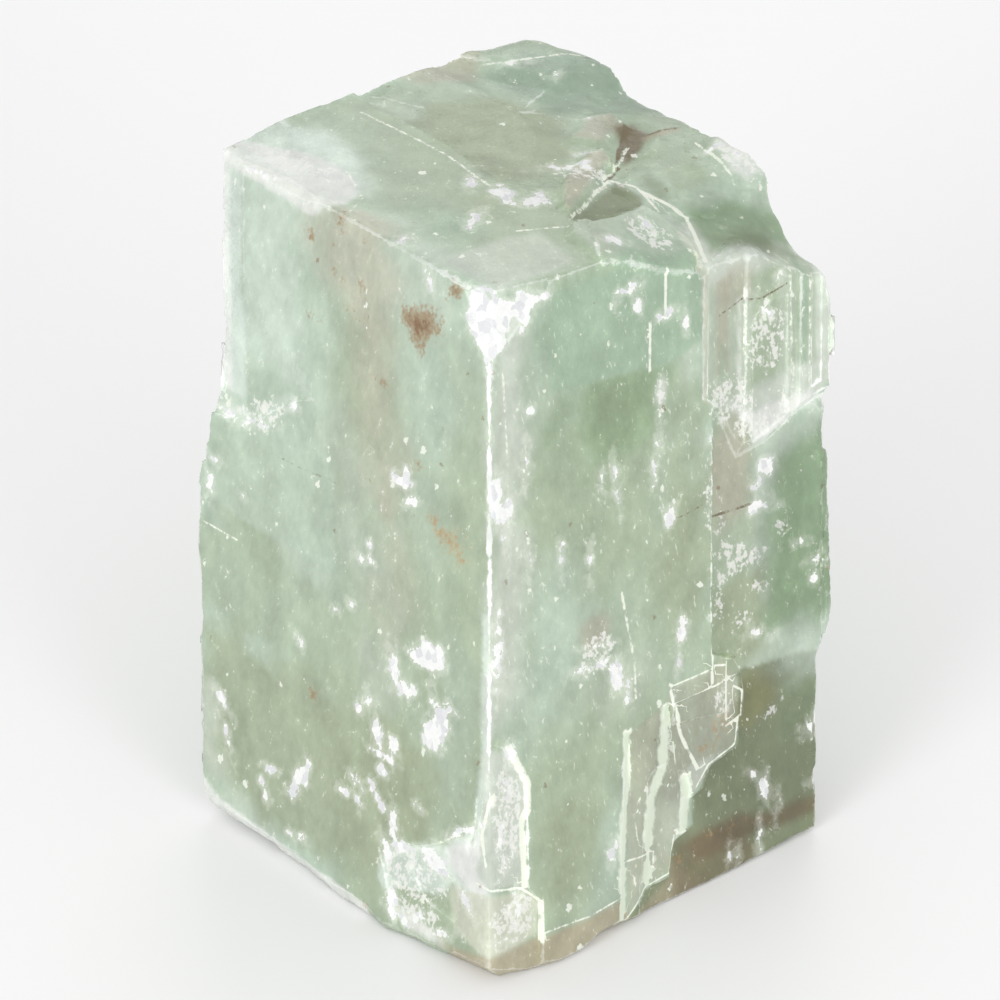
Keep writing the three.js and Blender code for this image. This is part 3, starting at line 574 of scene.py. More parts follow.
ZONES["right"] = [
    ("jade", oval(14, 8, 12, 9), 5, 0.9),
    ("deep", oval(18, 20, 12, 9), 6, 0.75),
    ("shade", oval(16, 20, 8, 6), 6, 0.3),
    ("sage", block(27, 31, 5, 13), 4, 0.8),
    ("jade", patch((8, 2), (30, 2), (30, 16.5), (24.9, 17.9), (21.8, 17.3), (17.6, 16.5), (13.3, 15.8),
        (8, 15)), 0.5, 0.95),
    ("milk", block(2.6, 27, 4.2, 27), 3.5, 0.75),
    ("mint", oval(9.5, 45, 7, 12), 5, 0.8),
    ("mint", oval(5, 54, 5, 6), 3, 0.6),
    ("taupe", oval(14.6, 46.5, 3, 3), 1.8, 0.8),
    ("frost", oval(23.7, 20.6, 1.1, 2.8), 0.9, 0.6),
    ("olive", oval(27.5, 40, 5.5, 14), 4, 0.8),
    ("sage", block(35, 34, 4.4, 24), 2, 0.8),
    ("taupe", oval(34.8, 35, 4.6, 10), 3, 0.9),
    ("olive", block(36, 54, 5.5, 7), 3, 0.9),
    ("milk", patch((29.2, 4), (46.5, 8), (49, 28), (46.6, 31.2), (41.5, 32.6), (37.5, 34), (36, 29.5),
        (33, 27.2), (30.8, 27)), 0.9, 0.9),
    ("sage", block(39, 19, 9, 8), 2, 0.6),
    ("taupe", oval(35, 13, 3, 4), 2, 0.6),
    ("taupe", block(33.3, 17, 1.2, 6), 0.6, 0.8),
    ("sage", block(39.2, 19, 2.4, 7), 1, 0.9),
    ("jade", block(44.6, 19, 0.8, 7), 0.5, 0.8),
    ("jade", block(33.3, 21, 0.9, 2.6), 0.8, 0.6),
    ("cream", patch((28.9, 5), (31.4, 5), (31.4, 21), (30.8, 25), (29.6, 24)), 0.5, 0.8),
    ("frost", patch((34.9, 14), (36.2, 14), (36.2, 24.7), (35.2, 25)), 0.5, 0.5),
    ("milk", patch((45.8, 10), (52, 10), (52, 29), (46.4, 29)), 0.5, 0.8),
    ("frost", patch((34, 26), (38, 28.5), (46, 28.4), (46.6, 31.6), (37.5, 33.6)), 1, 0.7),
    ("deep", patch((39.5, 35), (52, 30.5), (52, 61), (38, 58.5), (39, 46)), 3.5, 0.95),
    ("deep", oval(43.5, 52, 4, 6), 4, 0.5),
    ("shade", patch((35.8, 62), (35.1, 59.8), (52, 62.5), (52, 90), (19.7, 85), (19.7, 84), (22.6, 81.5),
        (26.2, 81.2), (26.7, 77.3), (29.4, 76.6), (29.6, 72.6), (30.6, 72.2), (31.2, 69.9), (32.2, 70.1),
        (35.6, 68.9)), 0.5, 0.9),
    ("deep", patch((41, 60), (52, 62), (52, 75), (41, 73)), 3, 0.25),
    ("khaki", oval(38.4, 64.6, 4.4, 4.5), 2.5, 0.85),
    ("sand", patch((24, 76.8), (27, 79), (33, 86), (33, 90), (20, 90), (20, 84.3), (25.6, 81.4)), 1.5, 0.6),
    ("umber", patch((25.8, 76.8), (30, 77), (34.4, 78.5), (40, 82), (40, 90), (27, 90), (25.6, 81.4)), 2,
        0.6),
    ("umber", patch((27.4, 78.8), (29.4, 77.8), (34.4, 77.6), (41, 79), (52, 80.4), (52, 84), (41, 83),
        (30, 82.6)), 1.8, 0.75),
    ("taupe", patch((18.4, 61), (23.7, 59.4), (26, 57.1), (31.5, 57.4), (33.1, 56.7), (35.1, 59.6),
        (35.8, 62), (35.6, 68.9), (32.2, 70.1), (30.6, 72.2), (29.6, 72.6), (29.4, 76.6), (26.7, 77.3),
        (26.2, 81.2), (22.6, 81.5), (19.7, 84)), 0.5, 0.55),
    ("milk", patch((29, 68.6), (35.4, 68.9), (32.2, 70.1), (30.6, 72.2), (29.6, 72.6), (29.4, 76.6),
        (26.7, 77.3), (28, 70)), 0.6, 0.7),
    ("olive", oval(11.5, 70, 5.5, 12), 4, 0.85),
    ("milk", patch((-1, 54), (0.6, 54.5), (2.9, 55.7), (5.6, 60.5), (5.6, 64.2), (4.9, 65.4), (5.3, 73.8),
        (-1, 72.2)), 0.5, 0.9),
    ("cream", patch((-1, 72.2), (5.1, 74), (7.7, 76.5), (7.7, 80.8), (-1, 82)), 0.6, 0.85),
    ("sand", patch((-1, 81), (8.3, 80.5), (14.1, 81), (18.7, 80.6), (20.5, 84), (20, 90), (-1, 90)), 0.7,
        0.85),
]
ZONES["top"] = [
    ("sage", block(20, 12, 24, 9), 4, 0.75),
    ("olive", oval(16, 13, 6, 4), 4, 0.5),
    ("mint", oval(36, 10, 9, 6), 4, 0.5),
    ("ice", patch((46, 0), (44, 9), (37, 13), (27, 10), (21, 5), (26, 0)), 3, 0.85),
    ("frost", patch((46, -2), (44, 3.4), (39, 4.5), (35.5, 6.4), (30.6, 7), (26.7, 6.4), (24.1, 4.1),
        (23.7, 1.6), (26, -2)), 0.9, 0.75),
    ("taupe", oval(18, 1.5, 5, 2.6), 2, 0.5),
    ("jade", oval(14, 7, 7, 5), 4, 0.8),
    ("milk", patch((0, 2), (9, 0.8), (10, 8), (8, 14), (0, 14)), 1.2, 0.6),
    ("olive", patch((37, 17), (25.6, 17), (17.3, 16.5), (16.6, 24.7), (18.7, 30.3), (25.8, 35.9),
        (35.9, 34), (37.1, 26.9)), 3.5, 0.95),
    ("taupe", patch((47, 20), (39, 26), (37, 32.3), (41, 37), (47, 37)), 2, 0.7),
    ("lake", patch((40, 32), (38, 49), (22, 49), (24, 41), (27, 33)), 3, 0.95),
    ("taupe", patch((22.8, 31.1), (26, 36.8), (25.4, 40.1), (22.7, 39.9), (20.7, 34.2)), 1, 0.8),
    ("taupe", patch(*MIDDLE_SHELL), 0.9, 0.9),
    ("shade", patch((8.6, 18.3), (13.1, 26), (15, 30.9), (11.2, 31.8), (8.2, 30), (6, 19)), 0.9, 0.85),
    # painted shade in the crease beside the middle shell
    ("shade", patch((13.5, 31.5), (15.5, 34.5), (12.4, 36.4), (9.5, 34.8), (9.6, 32)), 1.6, 0.45),
    ("milk", patch(*FRONT_SHELL, (0, 26.5), (0, 15)), 0.7, 0.3),
    # the brown of the filled hole: partly its stain, partly painted shade of the hole's depth
    ("umber", patch((24.2, 37.6), (24, 41.4), (20.6, 42), (17.4, 36), (15.6, 31.4), (20.4, 36.4)), 1.3,
        0.9),
    ("sand", patch((21.5, 39.5), (20.9, 45.5), (18.8, 44.5), (19.4, 39)), 0.9, 0.7),
    ("sage", patch((15.6, 36.8), (17.4, 43.5), (10.4, 41), (9.4, 33.9)), 1.2, 0.8),
    # the dark slope at the right of the top: its green, darkened further with painted shade of the slope
    ("deep", patch((10, 34), (8.4, 42.5), (8.6, 49), (3, 49), (1.8, 40), (1.8, 32), (5, 32.6)), 1.6, 0.85),
    ("shade", patch((5.5, 33), (6, 38), (5, 49), (1, 49), (1.2, 36)), 1.6, 0.55),
    ("frost", patch(*BACK_SHELL), 1.2, 0.6),
]


def back_zones():
    """Zones for the two back faces, which are guessed: the same colours, at random."""
    for seed, face in ((201, "back left"), (202, "back right")):
        names = ["mint", "olive", "taupe", "deep", "ice", "sage", "milk", "jade"]
        ovals = strewn(seed, len(names), 6, 14, 24)
        yield face, [(name, oval(*place), 5, 0.7) for name, place in zip(names, ovals)]


def body_colours(crystal):
    """The body's colour at each point: drifting greens, under the zones that are told apart."""
    drift = fractal(crystal * [1, 1, 0.6], 18.0, 71)[:, None]
    haze = smoothstep(0.1, 0.7, fractal(crystal * [1, 1, 0.5], 9.0, 73))[:, None]
    tone = {name: np.array(colour[:3]) for name, colour in PALETTE.items()}
    colour = tone["sage"] + (tone["mint"] - tone["sage"]) * smoothstep(-0.5, 0.5, drift)
    colour = colour + (tone["milk"] - colour) * haze * 0.3
    wander = fractal(crystal, 4.0, 79)
    for face, zones in [*ZONES.items(), *back_zones()]:
        depth = on_face(crystal, face)[2]
        for name, shape, soft, strength in zones:
            room = shape(crystal, face) - 0.6 * depth ** 2 + 0.4 * soft * wander
            amount = strength * smoothstep(0, 1, room / soft)[:, None]
            colour = colour + (tone[name] - colour) * amount
    clouds = fractal(crystal * [1, 1, 0.55], 2.6, 83, 4)[:, None]
    return np.clip(colour * (BODY_TONE + 0.12 * clouds), 0, 1)


# ---- marks ----
# Ovals on a face (s, t, half the width, half the height and any turn), and lists of corners.
MARKS = {kind: {} for kind in ("bruise", "stain", "rust", "lace", "clear", "worn")}
MARKS["bruise"]["left"] = [
    (14.8, 51.6, 0.8, 2.4, 5), (13.2, 53.4, 1.9, 0.9, 20), (9, 51.9, 0.5, 1), (17.3, 61.2, 0.9, 1.8, 10),
    (14.9, 61.4, 0.9, 1.2), (16.4, 63.4, 1.6, 0.6), (16.6, 65.2, 0.9, 0.8), (18.6, 57.2, 0.5, 0.9),
    (20.5, 59.1, 0.5, 0.8), (21.2, 68.4, 1, 0.6, -20), (23.1, 70.9, 0.9, 0.6), (20, 69.3, 0.5, 0.6),
    (18.1, 68.3, 0.6, 1.3, 25), (20.6, 71.1, 0.5, 0.8, 20), (16.8, 69.7, 0.7, 0.7),
    (14.9, 71, 0.8, 1.8, 10), (14.8, 72.9, 0.6, 1), (11.1, 66.9, 0.6, 0.6), (34.7, 74.2, 1, 0.6, 20),
    (36.1, 76.3, 0.6, 0.7), (35.4, 77.5, 0.6, 1), (42.2, 69.3, 1.5, 0.6, -42), (41.6, 73.6, 0.5, 1.6, 20),
    (31.6, 80.6, 0.5, 0.4), (29.7, 80.2, 0.8, 0.5), (18.6, 38.6, 0.5, 0.5), (20.2, 40.7, 0.6, 0.5),
    (18.4, 40.2, 0.5, 0.5), (24.1, 49, 0.6, 0.6), (29.7, 55.6, 0.5, 0.7), (21.5, 47, 0.6, 0.6),
    (38.5, 42.1, 0.5, 0.5), (43.2, 39.6, 1, 0.5, 20), (44, 42.6, 0.5, 1.5), (12, 30, 1, 0.5, 40),
    (8.8, 72.9, 2.1, 1.6), (16.4, 74.9, 0.7, 2, 10), (14.6, 73.6, 1.6, 0.7, 25), (11, 72.4, 1.6, 0.5, 25),
    (4.6, 66.9, 3, 0.4, 38), (4.6, 75.6, 0.8, 1.8, 40), (14.6, 82.6, 1.8, 0.8, -20),
    (11.6, 81.2, 1.6, 0.7, 30), (8.6, 82, 2.2, 0.5, 30), (15.4, 80.6, 0.5, 1.6), (33, 1.2, 3.2, 0.35, 3),
    (36.4, 1.6, 2.4, 0.35, 5), (36.6, 32.2, 2.6, 0.5, 25), (30.4, 27.4, 1, 0.5, 30),
    (41.4, 33.2, 1.6, 0.5, 5), (9, 2.2, 0.5, 1.3),
    [(12.9, 48.5), (11, 47.1), (9.8, 45.5), (8.5, 45.9), (7.3, 45.3), (6.7, 46.5), (6.7, 47.9), (9.2, 49.6),
     (10.4, 49.3), (12.3, 49.2)],
    [(6.1, 51.5), (4.8, 52.4), (6.1, 53.5), (6.1, 55), (7.9, 58.8), (9.8, 59.3), (10.4, 58.1), (10.4, 56.6),
     (9.2, 54.5)],
    [(32.3, 75.8), (30.6, 72.2), (28.9, 70.3), (28.9, 69), (28, 70.2), (28.7, 73), (31.4, 76)],
    [(15.3, 27.8), (13.4, 27.4), (12.8, 26.1), (12.2, 27.3), (11.3, 27.7), (12.8, 29.2), (14.7, 29)],
    [(3.4, 0), (-1, 0), (-1, 8.6), (0, 8.6), (1.1, 7.3), (2.9, 5.7), (3.7, 4), (3.1, 2)],
]
MARKS["bruise"]["right"] = [
    (0.9, 24.6, 0.9, 2.6), (2.4, 26.4, 1, 1.5), (2.1, 29.4, 0.35, 1.2), (14.6, 50.2, 2.6, 0.6, 5),
    (17.6, 52.6, 0.9, 2.4, -25), (19.4, 55.2, 0.5, 1.2), (15.4, 48, 1.6, 0.4, 10),
    (39.8, 36.6, 1.5, 1.3, 20), (38.6, 38.2, 0.9, 0.7), (38.3, 40.8, 0.9, 0.9), (40, 41, 0.9, 0.7),
    (41.6, 42.2, 0.7, 0.5), (38.8, 56.6, 1.6, 0.5, 15), (40.8, 57.9, 0.9, 0.6), (37.4, 55, 0.4, 0.5),
    (44.6, 47.8, 1.3, 0.4), (46.9, 50.2, 0.9, 0.4, -20), (46.4, 52.7, 0.7, 0.6), (26.9, 50.8, 0.7, 1.4),
    (26.4, 54.6, 0.4, 0.9), (23.4, 25.4, 0.4, 1.6), (38.6, 74.2, 0.4, 1.2, -40),
    (40.2, 76.6, 0.8, 2.2, -12), (42, 80, 0.4, 1.4), (39.4, 82.6, 0.35, 1.6), (36.4, 83.6, 0.3, 1.3),
    (35.2, 83, 0.3, 1), (1.2, 42.8, 0.6, 3.6), (3.1, 56.3, 0.6, 1.3, -15), (20.4, 9, 0.6, 0.9),
    (24.3, 11.3, 1, 0.5), (19.4, 6.4, 1.3, 0.6), (27.1, 13.5, 0.4, 1), (17.4, 7.3, 0.5, 0.7),
    (5.1, 22.2, 0.35, 1.8), (5.6, 15.8, 0.6, 0.6), (17.2, 27.9, 0.3, 1), (15.5, 28.6, 0.3, 0.8),
    (17.8, 30.4, 0.3, 1.2, -10), (5.6, 33.9, 0.3, 1.3), (10, 35.4, 0.35, 1.4), (13.9, 37.2, 0.3, 1.2),
    (22.8, 30.1, 0.3, 0.9), (25.1, 36.2, 0.8, 1.2), (30.9, 28.8, 0.5, 0.7), (39.4, 17.4, 0.4, 1.6, -35),
    (41, 13.6, 0.6, 0.9), (17.2, 74.4, 0.7, 1.4), (2.6, 60, 0.5, 1.6), (3.4, 63.6, 0.9, 0.4, 20),
    (1.8, 66, 0.4, 1.8), (3, 69.4, 0.5, 1.1, 20), (4.4, 76.4, 0.3, 1.6), (2.4, 79.4, 1.2, 0.3, 10),
    (0.4, 83.4, 0.5, 1.8),
    [(-1, 0), (3.4, 0), (3.8, 3), (3.3, 5), (2.3, 6.7), (0.8, 7.5), (0.2, 9.8), (-1, 9.8)],
    [(3.7, 1), (5.4, 1), (6.6, 2.3), (8.6, 2.6), (7.8, 3.4), (6.3, 3.3), (5.7, 4.9), (5, 6.1), (4.3, 5.7),
     (4, 3.9)],
]
MARKS["bruise"]["top"] = [
    (12.6, 18.6, 0.8, 1.2), (13.7, 10.2, 1.6, 0.6, 60), (14.7, 1.2, 0.7, 1), (18.4, 27, 0.6, 2.6, 15),
    (19.9, 31.4, 0.6, 1.6, 10), (17, 28.6, 0.7, 0.9), (20, 15.4, 1.6, 0.5, 45), (2.8, 19.8, 0.7, 1.3, 10),
    (5.6, 26.6, 0.8, 0.9), (12.2, 45.4, 1.6, 0.6, 30), (14.6, 44.4, 0.6, 1.4), (25.4, 36.4, 0.4, 1.2),
    (5.6, 37.4, 0.5, 0.9), (37.6, 37.6, 0.5, 1.4, 30), (33.6, 39.6, 0.4, 0.7),
    [(-1, -1), (3.2, -1), (3.1, 0.5), (2.7, 1.5), (1.2, 3.4), (-1, 4)],
    [(17.4, 15.6), (18, 17.6), (15.5, 17.4), (13.5, 15.6), (14.5, 14.7)],
    [(13.6, 16.6), (14.6, 20.1), (12.6, 19.2), (11.9, 17.3), (12.9, 16)],
]
MARKS["stain"]["left"] = [
    (27.6, 5.1, 1, 1), (22.8, 1.2, 1, 1.4), (18.8, 2.1, 0.6, 0.8), (23.8, 4.9, 0.6, 0.7),
    (23.8, 7.7, 0.5, 0.6), (22, 8.3, 0.5, 0.4), (19.5, 7.7, 0.5, 0.7), (18.9, 9.3, 0.5, 0.8),
    (27.7, 15.2, 0.6, 0.7), (25.8, 14.4, 0.6, 0.6), (20.1, 11.3, 0.6, 0.5), (18.9, 11.4, 0.8, 0.8),
    (22, 11.2, 0.4, 0.3), (16.4, 17.7, 0.9, 0.7, 20), (15.2, 15.7, 0.4, 0.6), (27.5, 61.1, 0.8, 0.9),
    (20.2, 83.4, 1, 0.8), (40.2, 0.8, 1, 0.9), (10.8, 25, 0.5, 0.9), (18.4, 30.6, 0.5, 0.5),
    [(13.9, 7.2), (11.4, 6.1), (9, 4.8), (7.1, 4.6), (7, 7.7), (8.8, 9.5), (9.6, 11.6), (10.9, 12.2),
     (12.1, 10.9), (13.3, 9.1)],
    [(6.5, 1.2), (5.6, 0.2), (3.4, 0.9), (4.5, 3), (6.3, 3.4)],
]
MARKS["stain"]["right"] = [(27.6, 80.4, 1.4, 0.6, 15), (35.4, 79.6, 3.6, 0.7, 8), (40, 80.4, 1.6, 0.7, 5)]
MARKS["stain"]["top"] = [
    (13.9, 28.6, 0.4, 1.6), (16.3, 32.4, 1.2, 0.5, 45), (20.6, 42.4, 0.5, 1.8), (41.6, 1.8, 0.9, 0.9),
    (18.6, 35.6, 0.5, 2.2, -55),
]
MARKS["rust"]["left"] = [(6.2, 31.8, 3.2, 2, 10), (4.4, 33.2, 1.6, 1.4), (8.4, 30.6, 1.4, 1.6)]
MARKS["rust"]["right"] = [(33.2, 65.4, 1.5, 2.2), (31, 67.4, 2.2, 1.2, 20)]
MARKS["lace"]["left"] = [(12.5, 76, 6, 4, 20), (36, 30.8, 6, 2.2, 30), (12, 81, 5, 2.4)]
MARKS["lace"]["right"] = [
    (34, 25.6, 3.4, 3.4), (36.8, 29, 2.4, 4.8, -10), (41.4, 30.6, 5.4, 2.6, -5), (34.4, 46, 3, 3.4),
    (38, 47, 3.6, 1.8, 10), (33, 50.4, 1.8, 3.6), (39, 50.8, 1.8, 1.8), (36.4, 54, 1.8, 1.6),
    (2.8, 64, 2.6, 8.6), (23.6, 20.8, 1.4, 3.4), (33.6, 41, 1.2, 2.2), (30.6, 36, 1, 8),
    (42.5, 44.5, 2, 2.2, 20), (47.2, 51, 1.4, 4), (41, 67, 2.6, 1.2, -30), (15, 49, 3.2, 3.2),
    (4, 77.4, 3.6, 3.4), (39.4, 21, 3.6, 4.6), (33.4, 63, 2, 3),
]
MARKS["lace"]["top"] = [(11.6, 45.5, 5, 3), (34, 3.6, 6, 2.4), (16, 28, 2.4, 5, 30), (4.4, 26, 3, 3.4)]
MARKS["clear"]["right"] = [(45, 46, 8, 16), (41, 72, 12, 12), (28, 66, 6, 9)]
MARKS["clear"]["top"] = [(5, 39, 6, 8)]
# Where the edges are whiter: partly worn edges, partly a painted highlight along outer edges and a bright
# step.
MARKS["worn"]["left"] = [(34, 0, 6, 1.6)]
MARKS["worn"]["right"] = [(47, 26, 3, 5), (30.8, 34, 2, 26), (5, 66, 2, 9)]
MARKS["worn"]["top"] = [(27, 17.2, 12, 1.6), (5, 28, 8, 3, -20)]

# The back faces, which are guessed, have marks of the same kinds at random.
for number, face in enumerate(("back left", "back right")):
    MARKS["bruise"][face] = strewn(number + 211, 60, 0.4, 1.6, 3.0)
    MARKS["stain"][face] = strewn(number + 221, 14, 0.4, 1.6, 1.6)
    MARKS["lace"][face] = strewn(number + 231, 9, 1.5, 5.0, 6.0)
    MARKS["rust"][face] = strewn(number + 241, 2, 1.5, 3.0, 3.0)


def mark_field(crystal, marks):
    """How far inside the marks each point lies, in millimetres, down to 3 outside."""
    field = np.full(len(crystal), -3.0)
    for face, shapes in marks.items():
        depth = on_face(crystal, face)[2]
        for shape in shapes:
            room = patch(*shape) if isinstance(shape, list) else oval(*shape)
            field = np.maximum(field, room(crystal, face) - depth ** 2)
    return field


# Thin lines along a face: their points, half their width, and a strength, below 0 if dark. Pale lines are
# partly veils and partly painted highlights on step edges; dark ones are partly cracks and partly painted
# shadow in a groove.
TRACES = {}
TRACES["left"] = [
    ([(33.4, 34.5), (29.1, 34.1), (25.9, 33.6), (23.9, 33.3)], 0.16, -0.2),
    ([(44.8, 48.1), (40.2, 47.9)], 0.12, 0.45), ([(2, 61.6), (2.5, 65.2), (7.5, 69.5)], 0.14, 0.5),
    ([(0.2, 60.5), (0.9, 63.5), (1.6, 66), (1.2, 69)], 0.24, 1),
]
TRACES["right"] = [
    ([(31, 30), (31, 50)], 0.14, 0.5), ([(31.2, 50), (31.5, 59.7)], 0.24, 1),
    ([(36.3, 14), (36.4, 24)], 0.16, 0.4), ([(42.5, 14), (43.5, 27.6)], 0.3, 0.4),
    ([(45.3, 16), (45.4, 28.7)], 0.18, 0.35), ([(31.4, 39.6), (34, 39.9), (37.4, 40.3)], 0.18, -0.55),
    ([(33, 15.4), (36, 14.6), (38.4, 15.4), (41.8, 15)], 0.12, -0.45),
    ([(22.6, 36.4), (27, 36.8), (29.6, 36.6)], 0.12, -0.35),
    # the three slivers of the staircase: their pale colour is a painted highlight on their bevelled edges
    ([(19.3, 60.6), (19.5, 66.3), (18.8, 70.9), (18.9, 83.6)], 0.72, 1.3),
    ([(25.2, 59.6), (25.1, 67.2), (23.1, 70.8), (22.9, 81.4)], 0.95, 1.3),
    ([(28.4, 70.4), (28.6, 72.4), (28.3, 76.4)], 0.85, 1.3),
    ([(26.6, 60.5), (27.7, 64.7), (30, 69.6)], 0.26, 1), ([(25.4, 57.2), (30.9, 57.4)], 0.14, 0.8),
    ([(25.9, 59.8), (32.1, 60.2), (35, 60.2)], 0.13, 0.8), ([(25.2, 57), (25.9, 59.8)], 0.2, 0.9),
    ([(32, 57.4), (34, 58.1), (34.1, 65.1)], 0.14, 0.9),
    ([(35.2, 61.6), (36.4, 62.6), (36.2, 65.6), (34.4, 66)], 0.15, 0.8),
    ([(35.8, 65.8), (35.4, 68.9), (31.6, 69.9), (30, 71.9)], 0.14, 0.8),
    ([(26.7, 77.3), (26.2, 81.2), (22.6, 81.5), (19.7, 84)], 0.13, 0.8),
    ([(19.6, 76.7), (23.9, 77.4), (23.9, 78.5)], 0.13, 0.7), ([(22.1, 12), (22.1, 16.8)], 0.2, 1),
    ([(24.2, 6.4), (24.2, 11)], 0.2, 0.9),
    ([(2.9, 55.7), (5.4, 60.7), (5.5, 64.2), (4.8, 65.3), (5.3, 73.8)], 0.42, 1),
    ([(0.4, 72.3), (5.1, 74), (7.5, 76.4), (7.6, 81)], 0.16, 0.8),
    ([(8.2, 80.4), (14.1, 81), (18.6, 80.6)], 0.13, 0.7), ([(18.4, 43), (20.2, 52), (20.4, 56)], 0.16, 0.5),
    ([(1.9, 10), (2.6, 22)], 0.14, 0.4),
]
TRACES["top"] = [
    # a bright line along a small step: painted highlight on its riser
    ([(38, 16.6), (25.6, 17.2), (18.3, 16.3)], 0.16, 0.5),
    ([(39.4, 35), (38.2, 37.6), (37, 41), (36, 45)], 0.2, 0.6),
    ([(12, 32), (9.6, 33.4), (7.7, 34.1), (4.3, 32.7), (1.9, 31.6)], 0.26, 0.9),
    ([(15.2, 29.3), (16.5, 32.1), (20.1, 37.1)], 0.2, 0.8),
    ([(8.3, 18.5), (12.9, 26), (14.8, 30.4)], 0.14, 0.5),
    ([(13.2, 26.4), (15.2, 30.2), (13.1, 31.9), (9.4, 31.6)], 0.2, 0.9),
    ([(9, 12.4), (6.6, 17.4)], 0.16, 0.6), ([(22.8, 1.6), (24, 4.2), (30.6, 7.2)], 0.12, 0.3),
    # a dark line in the groove beside the pit: painted shadow in the groove
    ([(22.8, 39.4), (20, 36), (16.7, 32.6), (15.2, 29.6)], 0.3, -0.8),
    ([(21, 40.8), (20.2, 44.6)], 0.2, -0.5), ([(10, 42.6), (16.4, 43.8)], 0.14, 0.6),
]
TRACE_REACH = 1.1  # millimetres beyond a line's edge over which it is looked up
TRACE_DEPTH = 0.85  # how far below its face, in terms of FACE_DEPTH, a line still shows


def trace_fields(crystal):
    """Each point's signed distance from the nearest line, in half widths, and its strength."""
    nearest = np.full(len(crystal), 9.0)
    offset = np.full(len(crystal), 9.0)
    strength = np.zeros(len(crystal))
    for face, traces in TRACES.items():
        for points, half_width, value in traces:
            for (s0, t0), (s1, t1) in zip(points, points[1:]):
                length = math.hypot(s1 - s0, t1 - t0)
                turn = math.degrees(math.atan2(t1 - t0, s1 - s0))
                x, y, depth = on_face(crystal, face, s0, t0, turn)
                past_end = np.maximum(np.maximum(-x, x - length), 0)
                gap = np.sqrt(y ** 2 + past_end ** 2) + 4 * np.maximum(depth - TRACE_DEPTH, 0)
                closer = gap < nearest
                faded = value * smoothstep(0.9, 0.2, past_end)
                faded *= smoothstep(TRACE_REACH, 0.7 * TRACE_REACH, gap - half_width)
                nearest = np.where(closer, gap, nearest)
                offset = np.where(closer, y / half_width, offset)
                strength = np.where(closer, faded, strength)
    return offset, strength


# ---- materials ----
class Graph:
    """A short way to write a material's nodes."""

    def __init__(self, name):
        self.material = bpy.data.materials.new(name)
        self.material.use_nodes = True
        self.tree = self.material.node_tree
        self.tree.nodes.clear()

    def node(self, kind, settings=None, **inputs):
        made = self.tree.nodes.new(kind)
        for name, value in (settings or {}).items():
            setattr(made, name, value)
        for name, value in inputs.items():
            self.feed(made.inputs[name.replace("_", " ")], value)
        return made

    def feed(self, socket, value):
        if isinstance(value, bpy.types.NodeSocket):
            self.tree.links.new(value, socket)
        else:
            socket.default_value = value

    def surface(self, **inputs):
        """The material's shader, joined to its output."""
        shader = self.node("ShaderNodeBsdfPrincipled", **inputs)
        self.node("ShaderNodeOutputMaterial", Surface=shader.outputs[0])
        return shader

    def attribute(self, name, output="Fac"):
        return self.node("ShaderNodeAttribute", {"attribute_name": name}).outputs[output]

    def calc(self, operation, a, b=0.0, c=0.0):
        made = self.node("ShaderNodeMath", {"operation": operation})
        for socket, value in zip(made.inputs, (a, b, c)):
            self.feed(socket, value)
        return made.outputs[0]

    def total(self, *terms):
        """The sum of values, each times its factor."""
        result = 0.0
        for value, factor in terms:
            result = self.calc("MULTIPLY_ADD", value, factor, result)
        return result

    def step(self, value, low, high, to_low=0.0, to_high=1.0):
        """Moves smoothly from one value to another as its input goes from low to high."""
        if low > high:
            low, high, to_low, to_high = high, low, to_high, to_low
        made = self.node("ShaderNodeMapRange", {"interpolation_type": "SMOOTHSTEP"}, Value=value,
                         From_Min=low, From_Max=high, To_Min=to_low, To_Max=to_high)
        return made.outputs["Result"]

    def mix(self, amount, a, b):
        """Colour a where the amount is 0, and colour b where it is 1."""
        made = self.node("ShaderNodeMix", {"data_type": "RGBA"})
        for number, value in ((0, amount), (6, a), (7, b)):
            self.feed(made.inputs[number], value)
        return made.outputs[2]

    def scaled(self, vector, factor):
        return self.node("ShaderNodeVectorMath", {"operation": "SCALE"}, Vector=vector,
                         Scale=factor).outputs[0]

    def stretch(self, vector, x, y, z):
        return self.node("ShaderNodeMapping", Vector=vector, Scale=(x, y, z)).outputs[0]

    def noise(self, vector, size, detail=2.0, roughness=0.5):
        """Noise from about -1 to 1, with lumps about `size` of the vector's units across."""
        made = self.node("ShaderNodeTexNoise", {"normalize": False}, Vector=vector,
                         Scale=1.0 / size, Detail=detail, Roughness=roughness)
        return made.outputs["Fac"]

    def cells(self, vector, size):
        """Cells about `size` across: the distance from their middles, and random numbers."""
        made = self.node("ShaderNodeTexVoronoi", Vector=vector, Scale=1.0 / size)
        colour = self.node("ShaderNodeSeparateColor", Color=made.outputs["Color"])
        return made.outputs["Distance"], colour.outputs[0], colour.outputs[1]


WHITE = srgb(239, 240, 238)
LILAC_FACET_SHADE = srgb(217, 218, 220)
FLECK = srgb(234, 238, 226)
LACE = srgb(232, 232, 227)
PALE_LINE = srgb(236, 239, 226)
SLIVER_HIGHLIGHT = srgb(220, 229, 210)
DARK_LINE = srgb(112, 100, 76)
BROWN = srgb(150, 120, 82)
DARK_BROWN = srgb(120, 86, 52)
RUST = srgb(178, 136, 84)


